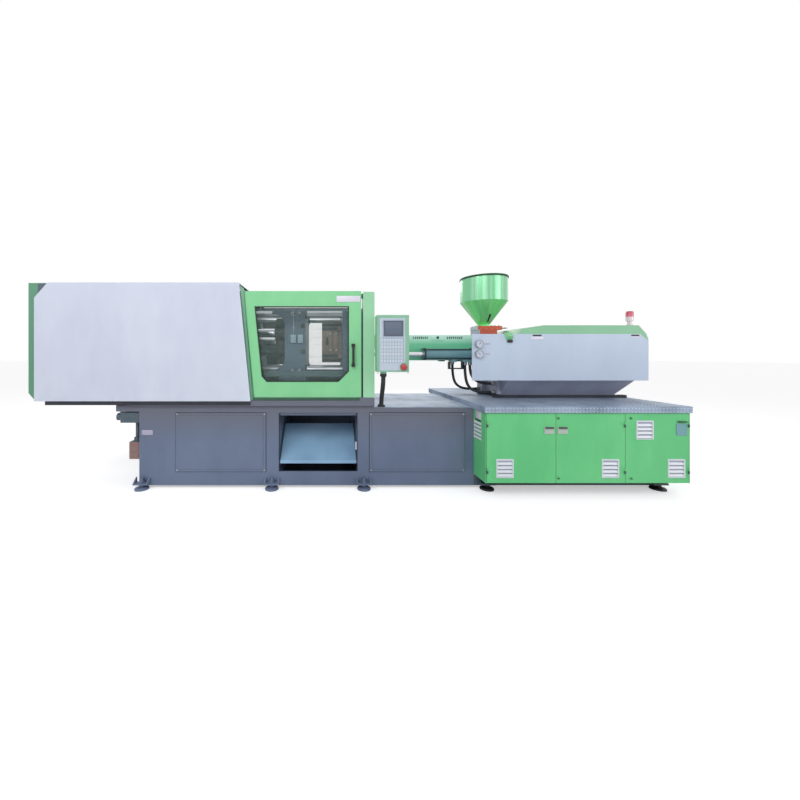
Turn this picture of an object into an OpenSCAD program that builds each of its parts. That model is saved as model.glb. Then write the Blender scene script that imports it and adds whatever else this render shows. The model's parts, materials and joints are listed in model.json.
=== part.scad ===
// Injection moulding machine. Clamp end at -X, injection end at +X, operator's side at -Y.
// Millimetres. The origin is on the floor, under the middle of the machine.

/* [Plan] */
// Casing, from its end cover to the top corner of the gate opening
casing_l = 1959; // [1900:1:2050]
// Lean of the casing's edge beside the gate, from top to bottom
casing_lean = 108; // [0:1:130]
// Gate length that shows beside the casing
gate_view_l = 1134; // [1080:1:1200]
// Gap between the closed gate and the guard column
gate_gap = 17; // [10:1:30]
// Guard column width
column_w = 105; // [80:1:130]
// Open bay between the guard column and the cabinet
bay_l = 935; // [900:1:1000]
// Cabinet length
cabinet_l = 1771; // [1740:1:1850]
// Overhang of the rear deck past the cabinet's end
deck_lip = 9; // [5:1:20]
// Width over the rear deck
deck_w = 1600; // [1560:2:1700]
// Width over the base
base_w = 1100; // [1080:2:1120]
// Width over the clamp casing
casing_w = 1200; // [1190:2:1240]

/* [Heights] */
// Floor to the underside of the base
foot_h = 27; // [20:1:40]
// Height of the base walls
base_h = 690; // [670:1:710]
// Thickness of the base's top flange
flange_t = 57; // [40:1:70]
// Recess between the flange and the casing
recess_h = 46; // [36:1:60]
// Height of the casing
casing_h = 1097; // [1060:1:1140]
// Gate bottom above the casing bottom
gate_lift = 33; // [25:1:45]
// Gate top below the casing top
gate_drop = 74; // [60:1:100]
// Guard column top below the gate top
column_drop = 8; // [0:1:30]
// Height of the tie bar centre above the floor
axis_h = 1380; // [1370:1:1400]
// Middle deck top
bay_deck_h = 760; // [750:1:770]
// Rear deck top
rear_deck_h = 802; // [790:1:815]
// Depth of the rear deck's folded lip
deck_fold = 56; // [40:1:70]
// Cabinet bottom above the floor
cabinet_z = 134; // [120:1:160]

/* [Base] */
// Plate thickness of the base walls
base_wall = 20; // [12:1:25]
// Flange overhang past the base at the clamp end
flange_over = 219; // [180:1:260]
// Base end, from the end cover of the casing
base_start = 1013; // [980:1:1040]
// Left edge of the first panel, from the base end
panel1_x = 344; // [320:1:370]
// Length of the first panel
panel1_l = 843; // [800:1:860]
// Left edge of the chute, from the base end
chute_x = 1308; // [1290:1:1330]
// Length of the chute opening
chute_l = 740; // [700:1:760]
// Left edge of the second panel, from the base end
panel2_x = 2160; // [2140:1:2180]
// Length of the second panel
panel2_l = 891; // [850:1:900]
// Bottom of the panels and the chute above the floor
panel_z = 155; // [140:1:180]
// Height of the panels and the chute
panel_h = 550; // [520:1:555]
// Panel sheet thickness
panel_t = 6; // [4:1:10]
// Panel overlap on the wall around its opening
panel_lap = 30; // [20:1:40]
// Side length of a foot bracket
foot_w = 136; // [110:1:150]
// Foot stud diameter
stud_d = 30; // [24:1:36]

/* [Clamp] */
// Tie bar pitch, both ways
tie_pitch = 560; // [540:2:570]
// Tie bar diameter
tie_d = 68; // [60:1:75]
// From a tie bar's centre to the platen's edge
platen_margin = 50; // [46:1:64]
// Fixed platen thickness
fixed_t = 230; // [200:1:250]
// Fixed platen's injection face, back from the bay
fixed_back = 56; // [40:1:80]
// Moving platen thickness
moving_t = 207; // [180:1:230]
// Daylight between the platens as the machine stands
daylight = 374; // [360:1:400]
// Rear platen thickness
rear_t = 200; // [180:1:220]
// Free tie bar length between the rear and fixed platens
tie_free = 1764; // [1740:1:1800]
// Travel of the moving platen away from the mould
open_stroke = 330; // [250:1:340]
// Main ram diameter
ram_d = 180; // [160:1:190]
// Traverse rod diameter
traverse_d = 90; // [70:1:95]
// Traverse rod offset from the axis, sideways
traverse_y = 200; // [195:1:210]
// Traverse rod offset from the axis, up and down
traverse_z = 95; // [90:1:110]
// Clamp cylinder length past its rod's travel
cylinder_extra = 130; // [100:1:160]
// Ejector housing length
ejector_l = 118; // [100:1:130]
// Ejector rod diameter
ejector_d = 30; // [24:1:36]
// Ejector rod pitch
ejector_pitch = 100; // [90:1:120]
// Mould half: thickness, width and height
mould_t = 209; // [180:1:230]
// Mould half width
mould_w = 380; // [340:2:420]
// Mould half height
mould_h = 420; // [380:2:440]

/* [Guards] */
// Gate thickness over its folded edge
gate_t = 30; // [24:1:34]
// Sheet thickness of guards and covers
sheet = 4; // [3:0.5:5]
// Depth of the casing's side trays
side_t = 20; // [14:1:24]
// Gate window: left edge from the casing's top corner
window_x = 145; // [130:1:160]
// Gate window length
window_l = 869; // [840:1:890]
// Gate window: top edge below the gate's top
window_drop = 147; // [130:1:165]
// Gate window height
window_h = 694; // [660:1:710]
// Casing frame tube side
tube = 40; // [30:1:45]
// Gate pane thickness
pane_t = 6; // [4:1:8]

/* [Control] */
// Control box: left face, from the bay's start
control_x = 4; // [2:1:30]
// Control box length
control_l = 283; // [270:1:300]
// Control box depth
control_d = 140; // [120:1:160]
// Control box height
control_h = 507; // [490:1:530]
// Control box bottom above the floor
control_z = 1096; // [1080:1:1110]
// Control box front, forward of the gate's face
control_out = 145; // [130:1:170]
// Emergency stop head diameter
estop_d = 56; // [40:1:64]
// Travel of the emergency stop
estop_travel = 5; // [3:0.5:7]

/* [Injection unit] */
// Cover: left end past the cabinet's left side
cover_x = 40; // [30:1:60]
// Cover length
cover_l = 1725; // [1700:1:1750]
// Cover width
cover_w = 840; // [820:2:860]
// Cover bottom below the axis
cover_drop = 382; // [370:1:395]
// Cover height below the bevelled top
cover_h = 455; // [440:1:470]
// Bevelled top: height
top_h = 90; // [80:1:100]
// Bevelled top: inset of its long edges
top_inset = 50; // [40:1:60]
// Carriage base width at the rails
carriage_foot_w = 400; // [380:2:440]
// Carriage base width at the top
carriage_top_w = 720; // [680:2:760]
// Carriage base: left end past the cover's left end
carriage_x = 382; // [370:1:400]
// Carriage base length
carriage_l = 1263; // [1220:1:1280]
// Carriage rail height
rail_h = 28; // [24:1:34]
// Slide rail width
rail_w = 50; // [40:1:60]
// Barrel outer diameter
barrel_d = 120; // [110:1:130]
// Barrel bore and screw diameter
screw_d = 50; // [40:1:56]
// Heater band thickness
band_t = 8; // [5:1:8]
// Heater band length
band_l = 130; // [110:1:150]
// Barrel guard width
guard_w = 220; // [210:2:240]
// Barrel guard top above the axis
guard_up = 80; // [76:1:90]
// Barrel guard bottom below the axis
guard_down = 190; // [175:1:200]
// Barrel guard start, past the bay's start
guard_x = 170; // [150:1:200]
// Carriage cylinder diameter
push_d = 116; // [100:1:120]
// Carriage cylinder length past its rod's travel
push_extra = 269; // [250:1:290]
// Carriage cylinder rod diameter
push_rod_d = 50; // [40:1:56]
// Carriage cylinder centre from the axis, sideways
push_y = 176; // [174:1:190]
// Carriage cylinder centre below the axis
push_drop = 123; // [110:1:130]
// Travel of the carriage away from the mould
carriage_travel = 250; // [200:1:260]
// Injection stroke of the screw
screw_stroke = 220; // [180:1:230]
// Hose diameter
hose_d = 28; // [24:1:30]

/* [Hopper] */
// Hopper axis past the cover's left end
hopper_x = 309; // [300:1:320]
// Hopper body radius
hopper_r = 240; // [228:1:255]
// Hopper sheet thickness
hopper_t = 3; // [2:0.5:4]
// Hopper top above the floor
hopper_top = 2090; // [2060:1:2150]
// Height of the straight part of the hopper
hopper_straight = 265; // [240:1:290]
// Radius of the cone's lower end
throat_r = 58; // [50:1:62]
// Feed block half width
feed_half = 100; // [90:1:110]
// Red slide housing: height
slide_h = 41; // [36:1:46]
// Red slide housing: length
slide_l = 260; // [240:1:280]
// Shutter blade thickness
blade_t = 6; // [4:1:8]
// Travel of the shutter
blade_travel = 120; // [110:1:130]

/* [Cabinet] */
// Door thickness over its folded edge
door_t = 20; // [16:1:24]
// Gap around the doors
door_gap = 4; // [3.5:0.5:6]
// First seam between the doors, from the cabinet's left side
seam1 = 609; // [590:1:625]
// Second seam between the doors, from the cabinet's left side
seam2 = 1211; // [1190:1:1230]
// Setback of the doors behind the deck's edge
door_back = 14; // [14:1:20]
// Hinge knuckle diameter
knuckle_d = 11; // [9:1:12]
// Cabinet sheet thickness
cab_sheet = 5; // [4:1:6]
// Frame tube side in the cabinet
cab_tube = 45; // [40:1:50]
// Louvre slat pitch
slat_pitch = 34; // [28:1:36]

/* [Fits] */
// Radial clearance of sliding fits
slide_fit = 0.08; // [0.04:0.01:0.1]
// Gap between separate bodies
gap = 0.3; // [0.3:0.1:0.6]

/* [Fittings] */
// Carriage cylinder start, past the bay's start
push_x = 567; // [550:1:600]
// Gauge diameter
gauge_d = 78; // [60:1:90]
// Gauge depth
gauge_t = 26; // [20:1:30]
// Lamp diameter
lamp_d = 64; // [56:1:80]
// Lamp height over its neck and lens
lamp_h = 144; // [120:1:160]
// Screw motor diameter
motor_d = 260; // [220:2:280]
// Screw motor length
motor_l = 330; // [300:2:340]
// Pump motor diameter
pump_motor_d = 330; // [280:2:360]
// Oil tank length
tank_l = 820; // [760:2:860]
// Clear floor around the oil tank
tank_margin = 60; // [40:1:70]
// Oil tank height
tank_h = 420; // [360:2:460]
// Conduit diameter
conduit_d = 42; // [36:1:44]
// Hinge pin diameter
pin_d = 6; // [5:0.5:7]
// Diameter of the mounting holes in the platens
mould_bolt_d = 20; // [16:1:24]
// Pitch of the mounting holes in the platens
mould_bolt_pitch = 210; // [200:2:220]

/* [Hidden] */
$fn = 48;

// Stations along the machine, from the end cover on
total_l = casing_l + gate_view_l + gate_gap + column_w + bay_l + cabinet_l + deck_lip;
x_end = -total_l / 2;
x_casing = x_end + casing_l;
x_gate = x_casing + gate_view_l;
x_column = x_gate + gate_gap;
x_bay = x_column + column_w;
x_cab = x_bay + bay_l;
x_cab_end = x_cab + cabinet_l;
x_right = x_cab_end + deck_lip;
x_base = x_end + base_start;
x_flange = x_base - flange_over;

// Heights
base_top = foot_h + base_h;
flange_top = base_top + flange_t;
casing_z = flange_top + recess_h;
casing_top = casing_z + casing_h;
gate_z = casing_z + gate_lift;
gate_top = casing_top - gate_drop;
cab_top = rear_deck_h - deck_fold;
deck_t = 6;
bay_top = bay_deck_h - deck_t;

// Half widths
base_y = base_w / 2;
side_y = casing_w / 2 - side_t;
tray_gap = 5;
gate_y = side_y - tray_gap;
gate_back = gate_y - gate_t;
deck_y = deck_w / 2;
door_y = deck_y - door_back;
door_in = door_y - door_t;

// Clamp stations
x_fixed1 = x_bay - fixed_back;
x_fixed0 = x_fixed1 - fixed_t;
x_moving1 = x_fixed0 - daylight;
x_moving0 = x_moving1 - moving_t;
x_rear1 = x_fixed0 - tie_free;
x_rear0 = x_rear1 - rear_t;
x_mould = x_fixed0 - mould_t;
nut_l = 50;
nut_d = 110;
way_h = 26;
way_y = 280;
way_w = 60;
way_top = flange_top + way_h;
platen_w = tie_pitch + 2 * platen_margin;
platen_bottom = axis_h - platen_w / 2;
traverse_case_d = 130;
cylinder_d = 2 * traverse_y - traverse_case_d - 20;
ram_in = 100;
cylinder_l = ram_in + open_stroke + cylinder_extra;

// Injection stations
x_cover = x_cab + cover_x;
x_cover1 = x_cover + cover_l;
carriage_z = rear_deck_h + rail_h;
cover_z = axis_h - cover_drop;
cover_top_z = cover_z + cover_h;
top_z = cover_top_z + top_h;
cover_y = cover_w / 2;
x_carriage = x_cover + carriage_x;
x_carriage1 = x_carriage + carriage_l;
x_hopper = x_cover + hopper_x;
plate_l = 80;
x_plate = x_carriage + 34;
slide_z = cover_top_z + 66;
hopper_z = slide_z + slide_h;
cone_top = hopper_top - hopper_straight;
push_z = axis_h - push_drop;
push_l = carriage_travel + push_extra;

module box(x0, x1, y0, y1, z0, z1)
    translate([x0, y0, z0])
        cube([x1 - x0, y1 - y0, z1 - z0]);

// A plate with its outline in X and Z, from y0 to y1
module plate_xz(points, y0, y1)
    translate([0, y1, 0])
        rotate([90, 0, 0])
            linear_extrude(y1 - y0)
                polygon(points);

// A bar with its outline in Y and Z, from x0 to x1
module bar_yz(points, x0, x1)
    translate([x0, 0, 0])
        rotate([90, 0, 90])
            linear_extrude(x1 - x0)
                polygon(points);

module rod_x(x0, x1, y, z, d)
    translate([x0, y, z])
        rotate([0, 90, 0])
            cylinder(h = x1 - x0, d = d);

module rod_y(x, y0, y1, z, d)
    translate([x, y1, z])
        rotate([90, 0, 0])
            cylinder(h = y1 - y0, d = d);

module rod_z(x, y, z0, z1, d)
    translate([x, y, z0])
        cylinder(h = z1 - z0, d = d);

module both_sides() {
    children();
    mirror([0, 1, 0])
        children();
}

// Places for the tie bars
module at_ties()
    for (y = [-1, 1], z = [-1, 1])
        translate([0, y * tie_pitch / 2, axis_h + z * tie_pitch / 2])
            children();

// Base
chute0 = x_base + chute_x;
chute1 = chute0 + chute_l;
panel1_0 = x_base + panel1_x;
panel2_0 = x_base + panel2_x;
panel_top = panel_z + panel_h;
skid_h = cabinet_z - foot_h;
foot_first = x_base + foot_w / 2 - 30;
foot_xs = [
    foot_first, (panel1_0 + panel1_l + chute0) / 2, (chute1 + panel2_0) / 2,
    x_cab + 110, x_cab_end - 70
];
foot_y = base_y + 25;
bracket_z = foot_h + 20;
bracket_t = 15;

module wall_hole(x0, l)
    box(x0 + panel_lap, x0 + l - panel_lap, -base_y - 1, -base_y + base_wall + 1,
        panel_z + panel_lap, panel_top - panel_lap);

module foot_bracket(x, y_in) {
    difference() {
        box(x - foot_w / 2, x + foot_w / 2, -base_y - 60, y_in, bracket_z, bracket_z + bracket_t);
        rod_z(x, -foot_y, bracket_z - 1, bracket_z + bracket_t + 1, stud_d + 2);
    }
    for (side = [-1, 1])
        translate([x + side * (foot_w / 2 - 6) - 6, -base_y, bracket_z + bracket_t])
            rotate([90, 0, 90])
                linear_extrude(12)
                    polygon([[0, 0], [-56, 0], [0, 44]]);
}

module base_frame() color([0.41, 0.47, 0.58]) {
    difference() {
        union() {
            both_sides() {
                difference() {
                    box(x_base, x_cab, -base_y, -base_y + base_wall, foot_h, base_top);
                    wall_hole(panel1_0, panel1_l);
                    wall_hole(panel2_0, panel2_l);
                    wall_hole(chute0, chute_l);
                }
                for (i = [0:2])
                    foot_bracket(foot_xs[i], -base_y + 1);
            }
            for (x = [x_base, chute0 - base_wall, chute1, x_cab - base_wall])
                box(x, x + base_wall, -base_y, base_y, foot_h, base_top);
            box(x_flange, x_bay, -base_y, base_y, base_top, flange_top);
            box(x_bay, x_cab, -base_y, base_y, base_top, bay_top);
        }
        box(chute0, chute1, -base_y - 1, -base_y + base_wall + 1, panel_z, panel_top);
        box(chute0 + 10, chute1 - 60, -way_y + way_w, way_y - way_w, base_top - 1, flange_top + 1);
        box(x_bay + 150, x_cab - 150, -way_y, way_y, base_top - 1, bay_top + 1);
    }
}

swage_in = 25;
swage_out = 4;
module base_panel(x0, l) {
    box(x0, x0 + l, -base_y - panel_t, -base_y, panel_z, panel_top);
    box(x0 + swage_in, x0 + l - swage_in, -base_y - panel_t - swage_out, -base_y - panel_t + 1,
        panel_z + swage_in, panel_top - swage_in);
}

// Two panels on each side, and one that closes the back of the chute's bay
module base_panels() color([0.43, 0.50, 0.62]) {
    both_sides() {
        base_panel(panel1_0, panel1_l);
        base_panel(panel2_0, panel2_l);
    }
    mirror([0, 1, 0])
        base_panel(chute0, chute_l);
}

// The chute falls from the middle of the base to the lip in the front opening
chute_lip_z = 245;
chute_back_z = 515;
chute_depth = 420;
chute_sheet = 5;
chute_side_h = 60;
chute_rail_h = 28;
chute_post_w = 30;
module chute_plate() color([0.43, 0.57, 0.71]) {
    y0 = -base_y + base_wall + 2;
    y1 = -base_y + chute_depth;
    bar_yz([[y0, chute_lip_z], [y1, chute_back_z], [y1, chute_back_z + chute_sheet],
        [y0, chute_lip_z + chute_sheet]], chute0 + sheet, chute1 - sheet);
    for (x = [chute0 + gap, chute1 - gap - sheet]) {
        bar_yz([[y0, chute_lip_z], [y1, chute_back_z], [y1, chute_back_z + chute_side_h],
            [y0, chute_lip_z + chute_side_h]], x, x + sheet);
        box(x, x + sheet, y0, y0 + chute_post_w, chute_lip_z, panel_top - gap);
    }
    box(chute0 + gap, chute1 - gap, y0, y0 + sheet, panel_top - chute_rail_h, panel_top - gap);
    box(chute0 + gap, chute1 - gap, y0 - sheet, y0 + 1, chute_lip_z - 20, chute_lip_z + 12);
    box(chute0 + gap, chute1 - gap, y1 - 1, y1 + sheet, panel_z, chute_back_z + chute_sheet);
}

pad_r = 62;
pad_edge = 12;
pad_chamfer = 6;
pad_h = 24;
stud_over = 40;
foot_nut_h = 16;
module levelling_feet() color([0.39, 0.44, 0.53])
    both_sides()
        for (x = foot_xs) {
            translate([x, -foot_y, 0])
                rotate_extrude()
                    polygon([
                        [0, 0], [pad_r, 0], [pad_r, pad_edge], [pad_r - pad_chamfer, pad_edge + pad_chamfer],
                        [pad_r / 2, pad_h], [stud_d / 2, pad_h],
                        [stud_d / 2, bracket_z + bracket_t + stud_over], [0, bracket_z + bracket_t + stud_over]
                    ]);
            for (z = [bracket_z - foot_nut_h - gap, bracket_z + bracket_t + gap])
                translate([x, -foot_y, z])
                    difference() {
                        cylinder(h = foot_nut_h, d = stud_d * 1.7, $fn = 6);
                        translate([0, 0, -1])
                            cylinder(h = foot_nut_h + 2, d = stud_d + 2 * gap);
                    }
        }

// Cabinet
deck_over = 15;
door_play = 1;
frame_y = door_in - door_play;
frame_top = rear_deck_h - deck_t;
xf0 = x_cab + cab_sheet;
xf1 = x_cab_end - cab_sheet;
x_seam1 = x_cab + seam1;
x_seam2 = x_cab + seam2;
post_xs = [xf0, x_seam1 - cab_tube / 2, x_seam2 - cab_tube / 2, xf1 - cab_tube];
floor_z = cabinet_z + 6;
door_sheet = 3;
door_z0 = cabinet_z + 3;
door_z1 = cab_top - 3;
hinge_y = door_y + knuckle_d / 2 + gap;
hinge_zs = [cabinet_z + 85, cab_top - 125];
hinge_h = 50;
vent_w = 128;
vent_h = 142;
vent_rim = 10;
slat_rise = slat_pitch - 4;

// Hinge axes, each a knuckle's radius inside its door's edge
hinge_left = xf0 + door_gap + knuckle_d / 2;
hinge_middle = x_seam2 - door_gap / 2 - knuckle_d / 2;
hinge_right = xf1 - door_gap - knuckle_d / 2;
tab_t = 2.5;

// Lower knuckle and pin of a hinge, with a tab round the door's edge to a post.
// Side is the way from the axis into the door
module hinge_fixed(x, side)
    for (z = hinge_zs) {
        rod_z(x, -hinge_y, z, z + hinge_h / 2, knuckle_d);
        rod_z(x, -hinge_y, z, z + hinge_h, pin_d);
        translate([x, 0, 0])
            mirror([side > 0 ? 1 : 0, 0, 0]) {
                tab_x = knuckle_d / 2 + gap;
                box(0, tab_x + tab_t, -hinge_y - tab_t / 2, -hinge_y + tab_t / 2, z, z + hinge_h / 2);
                box(tab_x, tab_x + tab_t, -hinge_y - tab_t / 2, -frame_y + 1, z, z + hinge_h / 2);
            }
    }

// Upper knuckle and leaf of a hinge, on a door; side is the way from the axis into the door
module hinge_moving(x, side)
    for (z = hinge_zs)
        difference() {
            union() {
                rod_z(x, -hinge_y, z + hinge_h / 2 + gap, z + hinge_h, knuckle_d);
                translate([side > 0 ? x : x - 30, -door_y - 3, z + hinge_h / 2 + gap])
                    cube([30, 4, hinge_h / 2 - gap]);
            }
            rod_z(x, -hinge_y, z, z + hinge_h + 1, pin_d + 2 * slide_fit);
        }

module rear_frame() color([0.38, 0.42, 0.50]) {
    both_sides() {
        box(x_cab, x_cab_end, -base_y, -base_y + 60, foot_h, cabinet_z);
        for (i = [3:4])
            foot_bracket(foot_xs[i], -base_y + 1);
        box(xf0, xf1, -frame_y, -frame_y + cab_tube, frame_top - cab_tube, frame_top);
        for (x = post_xs)
            box(x, x + cab_tube, -frame_y, -frame_y + cab_tube, cabinet_z, frame_top);
        box(xf0, xf1, -carriage_foot_w / 2, -carriage_foot_w / 2 + cab_tube,
            frame_top - cab_tube, frame_top);
    }
    for (x = post_xs)
        box(x, x + cab_tube, -frame_y, frame_y, frame_top - cab_tube, frame_top);
    for (x = [x_cab, x_cab_end - 60])
        box(x, x + 60, -base_y, base_y, foot_h, cabinet_z);
    box(xf0, xf1, -frame_y, frame_y, cabinet_z, floor_z);
    hinge_fixed(hinge_left, 1);
    hinge_fixed(hinge_middle, -1);
    hinge_fixed(hinge_right, -1);
}

module deck_plates() color([0.68, 0.70, 0.77]) {
    box(x_bay, x_cab, -base_y, base_y, bay_top, bay_deck_h);
    difference() {
        box(x_cab - deck_over, x_right, -deck_y, deck_y, cab_top, rear_deck_h);
        box(x_cab - deck_over + deck_t, x_right - deck_t, -deck_y + deck_t, deck_y - deck_t,
            cab_top - 1, frame_top);
        box(x_cab - deck_over - 1, x_cab, -base_y - 1, base_y + 1, cab_top - 1, bay_deck_h + gap);
    }
}

side_vent_y = deck_y - 100;
side_vent_w = 140;
side_vent_z = cabinet_z + 346;
side_vent_h = 180;
module cabinet_panels() color([0.37, 0.73, 0.50]) {
    difference() {
        box(x_cab, xf0, -door_y + 1, door_y - cab_sheet, cabinet_z, frame_top);
        box(x_cab - 1, xf0 + 1, -side_vent_y, -side_vent_y + side_vent_w,
            side_vent_z, side_vent_z + side_vent_h);
    }
    for (z = [side_vent_z + 2:slat_pitch:side_vent_z + side_vent_h - slat_rise])
        plate_xz([[x_cab - 4, z], [xf0, z + slat_rise - 3], [xf0, z + slat_rise], [x_cab - 4, z + 3]],
            -side_vent_y - 5, -side_vent_y + side_vent_w + 5);
    box(xf1, x_cab_end, -door_y + 1, door_y - cab_sheet, cabinet_z, frame_top);
    box(x_cab, x_cab_end, door_y - cab_sheet, door_y, cabinet_z, cab_top - gap);
}

// The tank, with its filler and level glass
tank_half = 380;
tank_wall = 6;
tank_x0 = x_cab + tank_margin;
tank_x1 = tank_x0 + tank_l;
filler_d = 110;
glass_w = 40;
module oil_tank() color([0.45, 0.50, 0.58]) {
    difference() {
        box(tank_x0, tank_x1, -tank_half, tank_half, floor_z, floor_z + tank_h);
        box(tank_x0 + tank_wall, tank_x1 - tank_wall, -tank_half + tank_wall, tank_half - tank_wall,
            floor_z + tank_wall, floor_z + tank_h - tank_wall);
    }
    rod_z(tank_x0 + 1.3 * filler_d, -tank_half + 1.2 * filler_d, floor_z + tank_h,
        floor_z + tank_h + filler_d / 2, filler_d);
    box(tank_x0 + 8.5 * glass_w, tank_x0 + 9.5 * glass_w, -tank_half - 2 * tank_wall, -tank_half,
        floor_z + 0.2 * tank_h, floor_z + 0.8 * tank_h);
}

// Pump, bell housing and finned motor in a row on two feet
pump_x = tank_x1 + tank_margin;
pump_y = deck_w / 8;
pump_l = 130;
bell_l = 100;
pump_motor_l = 430;
fin_pitch = 30;
fin_t = 8;
motor_foot_l = 60;
pump_z = floor_z + pump_motor_d / 2 + fin_pitch;
module pump_set() color([0.30, 0.38, 0.50]) {
    motor_x = pump_x + pump_l + bell_l;
    rod_x(motor_x, motor_x + pump_motor_l, pump_y, pump_z, pump_motor_d);
    for (x = [motor_x + fin_pitch:fin_pitch:motor_x + pump_motor_l - 1.5 * fin_pitch])
        rod_x(x, x + fin_t, pump_y, pump_z, pump_motor_d + 20);
    rod_x(pump_x + pump_l, motor_x + 1, pump_y, pump_z, pump_motor_d * 0.7);
    rod_x(pump_x, pump_x + pump_l + 1, pump_y, pump_z, pump_motor_d * 0.5);
    for (x = [motor_x + 50, motor_x + pump_motor_l - 100])
        box(x, x + motor_foot_l, pump_y - 0.4 * pump_motor_d, pump_y + 0.4 * pump_motor_d,
            floor_z, pump_z - pump_motor_d / 3);
}

// Mounting plate with three rows of contactors, deeper row by row
gear_y = 300;
gear_w = 80;
gear_h = 110;
module switch_gear() color([0.80, 0.82, 0.84]) {
    box(pump_x + 30, xf1 - 60, -gear_y, -gear_y + 10, floor_z, cab_top - 60);
    for (row = [0:2], i = [0:5])
        translate([pump_x + 70 + i * 1.3 * gear_w, -gear_y - gear_w + row * 10,
            floor_z + 60 + row * 1.45 * gear_h])
            cube([gear_w, gear_w + 1 - row * 10, gear_h]);
}

// A sheet door with folded edges; vents is a list of [x, z] lower left corners
module door(x0, x1, vents) {
    difference() {
        box(x0, x1, -door_y, -door_in, door_z0, door_z1);
        box(x0 + door_sheet, x1 - door_sheet, -door_y + door_sheet, -door_in + 1,
            door_z0 + door_sheet, door_z1 - door_sheet);
        for (v = vents)
            box(v[0], v[0] + vent_w, -door_y - 1, -door_y + door_sheet + 1, v[1], v[1] + vent_h);
    }
    for (v = vents) {
        for (z = [v[1] + 2:slat_pitch:v[1] + vent_h - slat_rise])
            bar_yz([[-door_y - 5, z], [-door_y + 9, z + slat_rise - 3], [-door_y + 9, z + slat_rise],
                [-door_y - 5, z + 3]], v[0] - 4, v[0] + vent_w + 4);
        difference() {
            box(v[0] - vent_rim, v[0] + vent_w + vent_rim, -door_y - 5, -door_y + door_sheet,
                v[1] - vent_rim, v[1] + vent_h + vent_rim);
            box(v[0] - 0.5, v[0] + vent_w + 0.5, -door_y - 6, -door_y + door_sheet + 1,
                v[1] - 0.5, v[1] + vent_h + 0.5);
        }
    }
}

latch_z = cabinet_z + 430;
module latch(x)
    difference() {
        box(x, x + 86, -door_y - 6, -door_y + 1, latch_z, latch_z + 60);
        box(x + 8, x + 78, -door_y - 7, -door_y - 2, latch_z + 34, latch_z + 50);
    }

module door_left() color([0.39, 0.77, 0.52]) {
    x0 = xf0 + door_gap;
    door(x0, x_seam1 - door_gap / 2, [[x_cab + 102, cabinet_z + 56]]);
    hinge_moving(hinge_left, 1);
    latch(x_seam1 - 103);
}

module door_middle() color([0.39, 0.77, 0.52]) {
    x1 = x_seam2 - door_gap / 2;
    door(x_seam1 + door_gap / 2, x1, [[x_seam2 - 195, cabinet_z + 56]]);
    hinge_moving(hinge_middle, -1);
    latch(x_seam1 + 14);
}

module door_right() color([0.39, 0.77, 0.52]) {
    x1 = xf1 - door_gap;
    door(x_seam2 + door_gap / 2, x1,
        [[x_seam2 + 104, cabinet_z + 390], [x1 - 174, cabinet_z + 56]]);
    hinge_moving(hinge_right, -1);
    box(x1 - 112, x1 - 20, -door_y - 4, -door_y + 1, cabinet_z + 415, cabinet_z + 518);
}

// Clamp casing
end_chamfer = 64;
tray_chamfer = 124;
cap_l = 85;
end_wall = 5;
cap_y = side_y - gap;
tray_start = 69;
post_l = x_rear0 - 100;
post_r = x_casing - 20 - tube;
guide_y1 = gate_back - gap;
guide_y0 = guide_y1 - tube;

module casing_end() color([0.37, 0.59, 0.47]) {
    outline = [
        [x_end, casing_top], [x_end, casing_z + end_chamfer + 11],
        [x_end + end_chamfer, casing_z], [x_end + cap_l, casing_z], [x_end + cap_l, casing_top]
    ];
    inner = [
        [x_end + end_wall, casing_top - sheet],
        [x_end + end_wall, casing_z + end_chamfer + 13],
        [x_end + end_chamfer + 2, casing_z + end_wall],
        [x_end + cap_l + 1, casing_z + end_wall], [x_end + cap_l + 1, casing_top - sheet]
    ];
    difference() {
        plate_xz(outline, -cap_y, cap_y);
        plate_xz(inner, -cap_y + end_wall, cap_y - end_wall);
    }
    box(x_end + cap_l - 1, x_casing, -cap_y, cap_y, casing_top - sheet, casing_top);
}

function tray_outline(inset) = [
    [x_end + tray_start + inset, casing_z + inset],
    [x_end + tray_start + inset, casing_top - tray_chamfer - 16],
    [x_end + tray_start + tray_chamfer, casing_top - inset],
    [x_casing - inset, casing_top - inset],
    [x_casing + casing_lean - inset, casing_z + inset]
];

module casing_sides() color([0.80, 0.83, 0.89])
    both_sides()
        difference() {
            plate_xz(tray_outline(0), -side_y - side_t, -side_y);
            plate_xz(tray_outline(sheet), -side_y - side_t + sheet, -side_y + 1);
        }

module casing_frame() color([0.35, 0.45, 0.42]) {
    both_sides() {
        box(x_end + cap_l, x_casing - 20, -cap_y, -cap_y + tube,
            casing_top - sheet - tube, casing_top - sheet);
        box(x_end + cap_l, post_l + tube, -cap_y, -cap_y + tube, casing_z, casing_z + tube);
        for (x = [post_l, post_r])
            box(x, x + tube, -guide_y0, -guide_y0 + tube, flange_top, casing_top - sheet);
        box(x_end + cap_l, x_end + cap_l + tube, -cap_y, -cap_y + tube, casing_z, casing_top - sheet);
    }
    for (x = [x_end + cap_l, post_l, post_r])
        box(x, x + tube, -cap_y, cap_y, casing_top - sheet - tube, casing_top - sheet);
    for (x = [x_end + cap_l, post_l])
        box(x, x + tube, -cap_y, cap_y, casing_z, casing_z + tube);
}

column_d = 60;
module guard_columns() color([0.49, 0.82, 0.57])
    both_sides()
        difference() {
            box(x_column, x_bay, -side_y, -side_y + column_d, gate_z - gap, gate_top - column_drop);
            box(x_column + sheet, x_bay - sheet, -side_y + sheet, -side_y + column_d - sheet,
                gate_z - gap - 1, gate_top - column_drop - sheet);
        }

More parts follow.
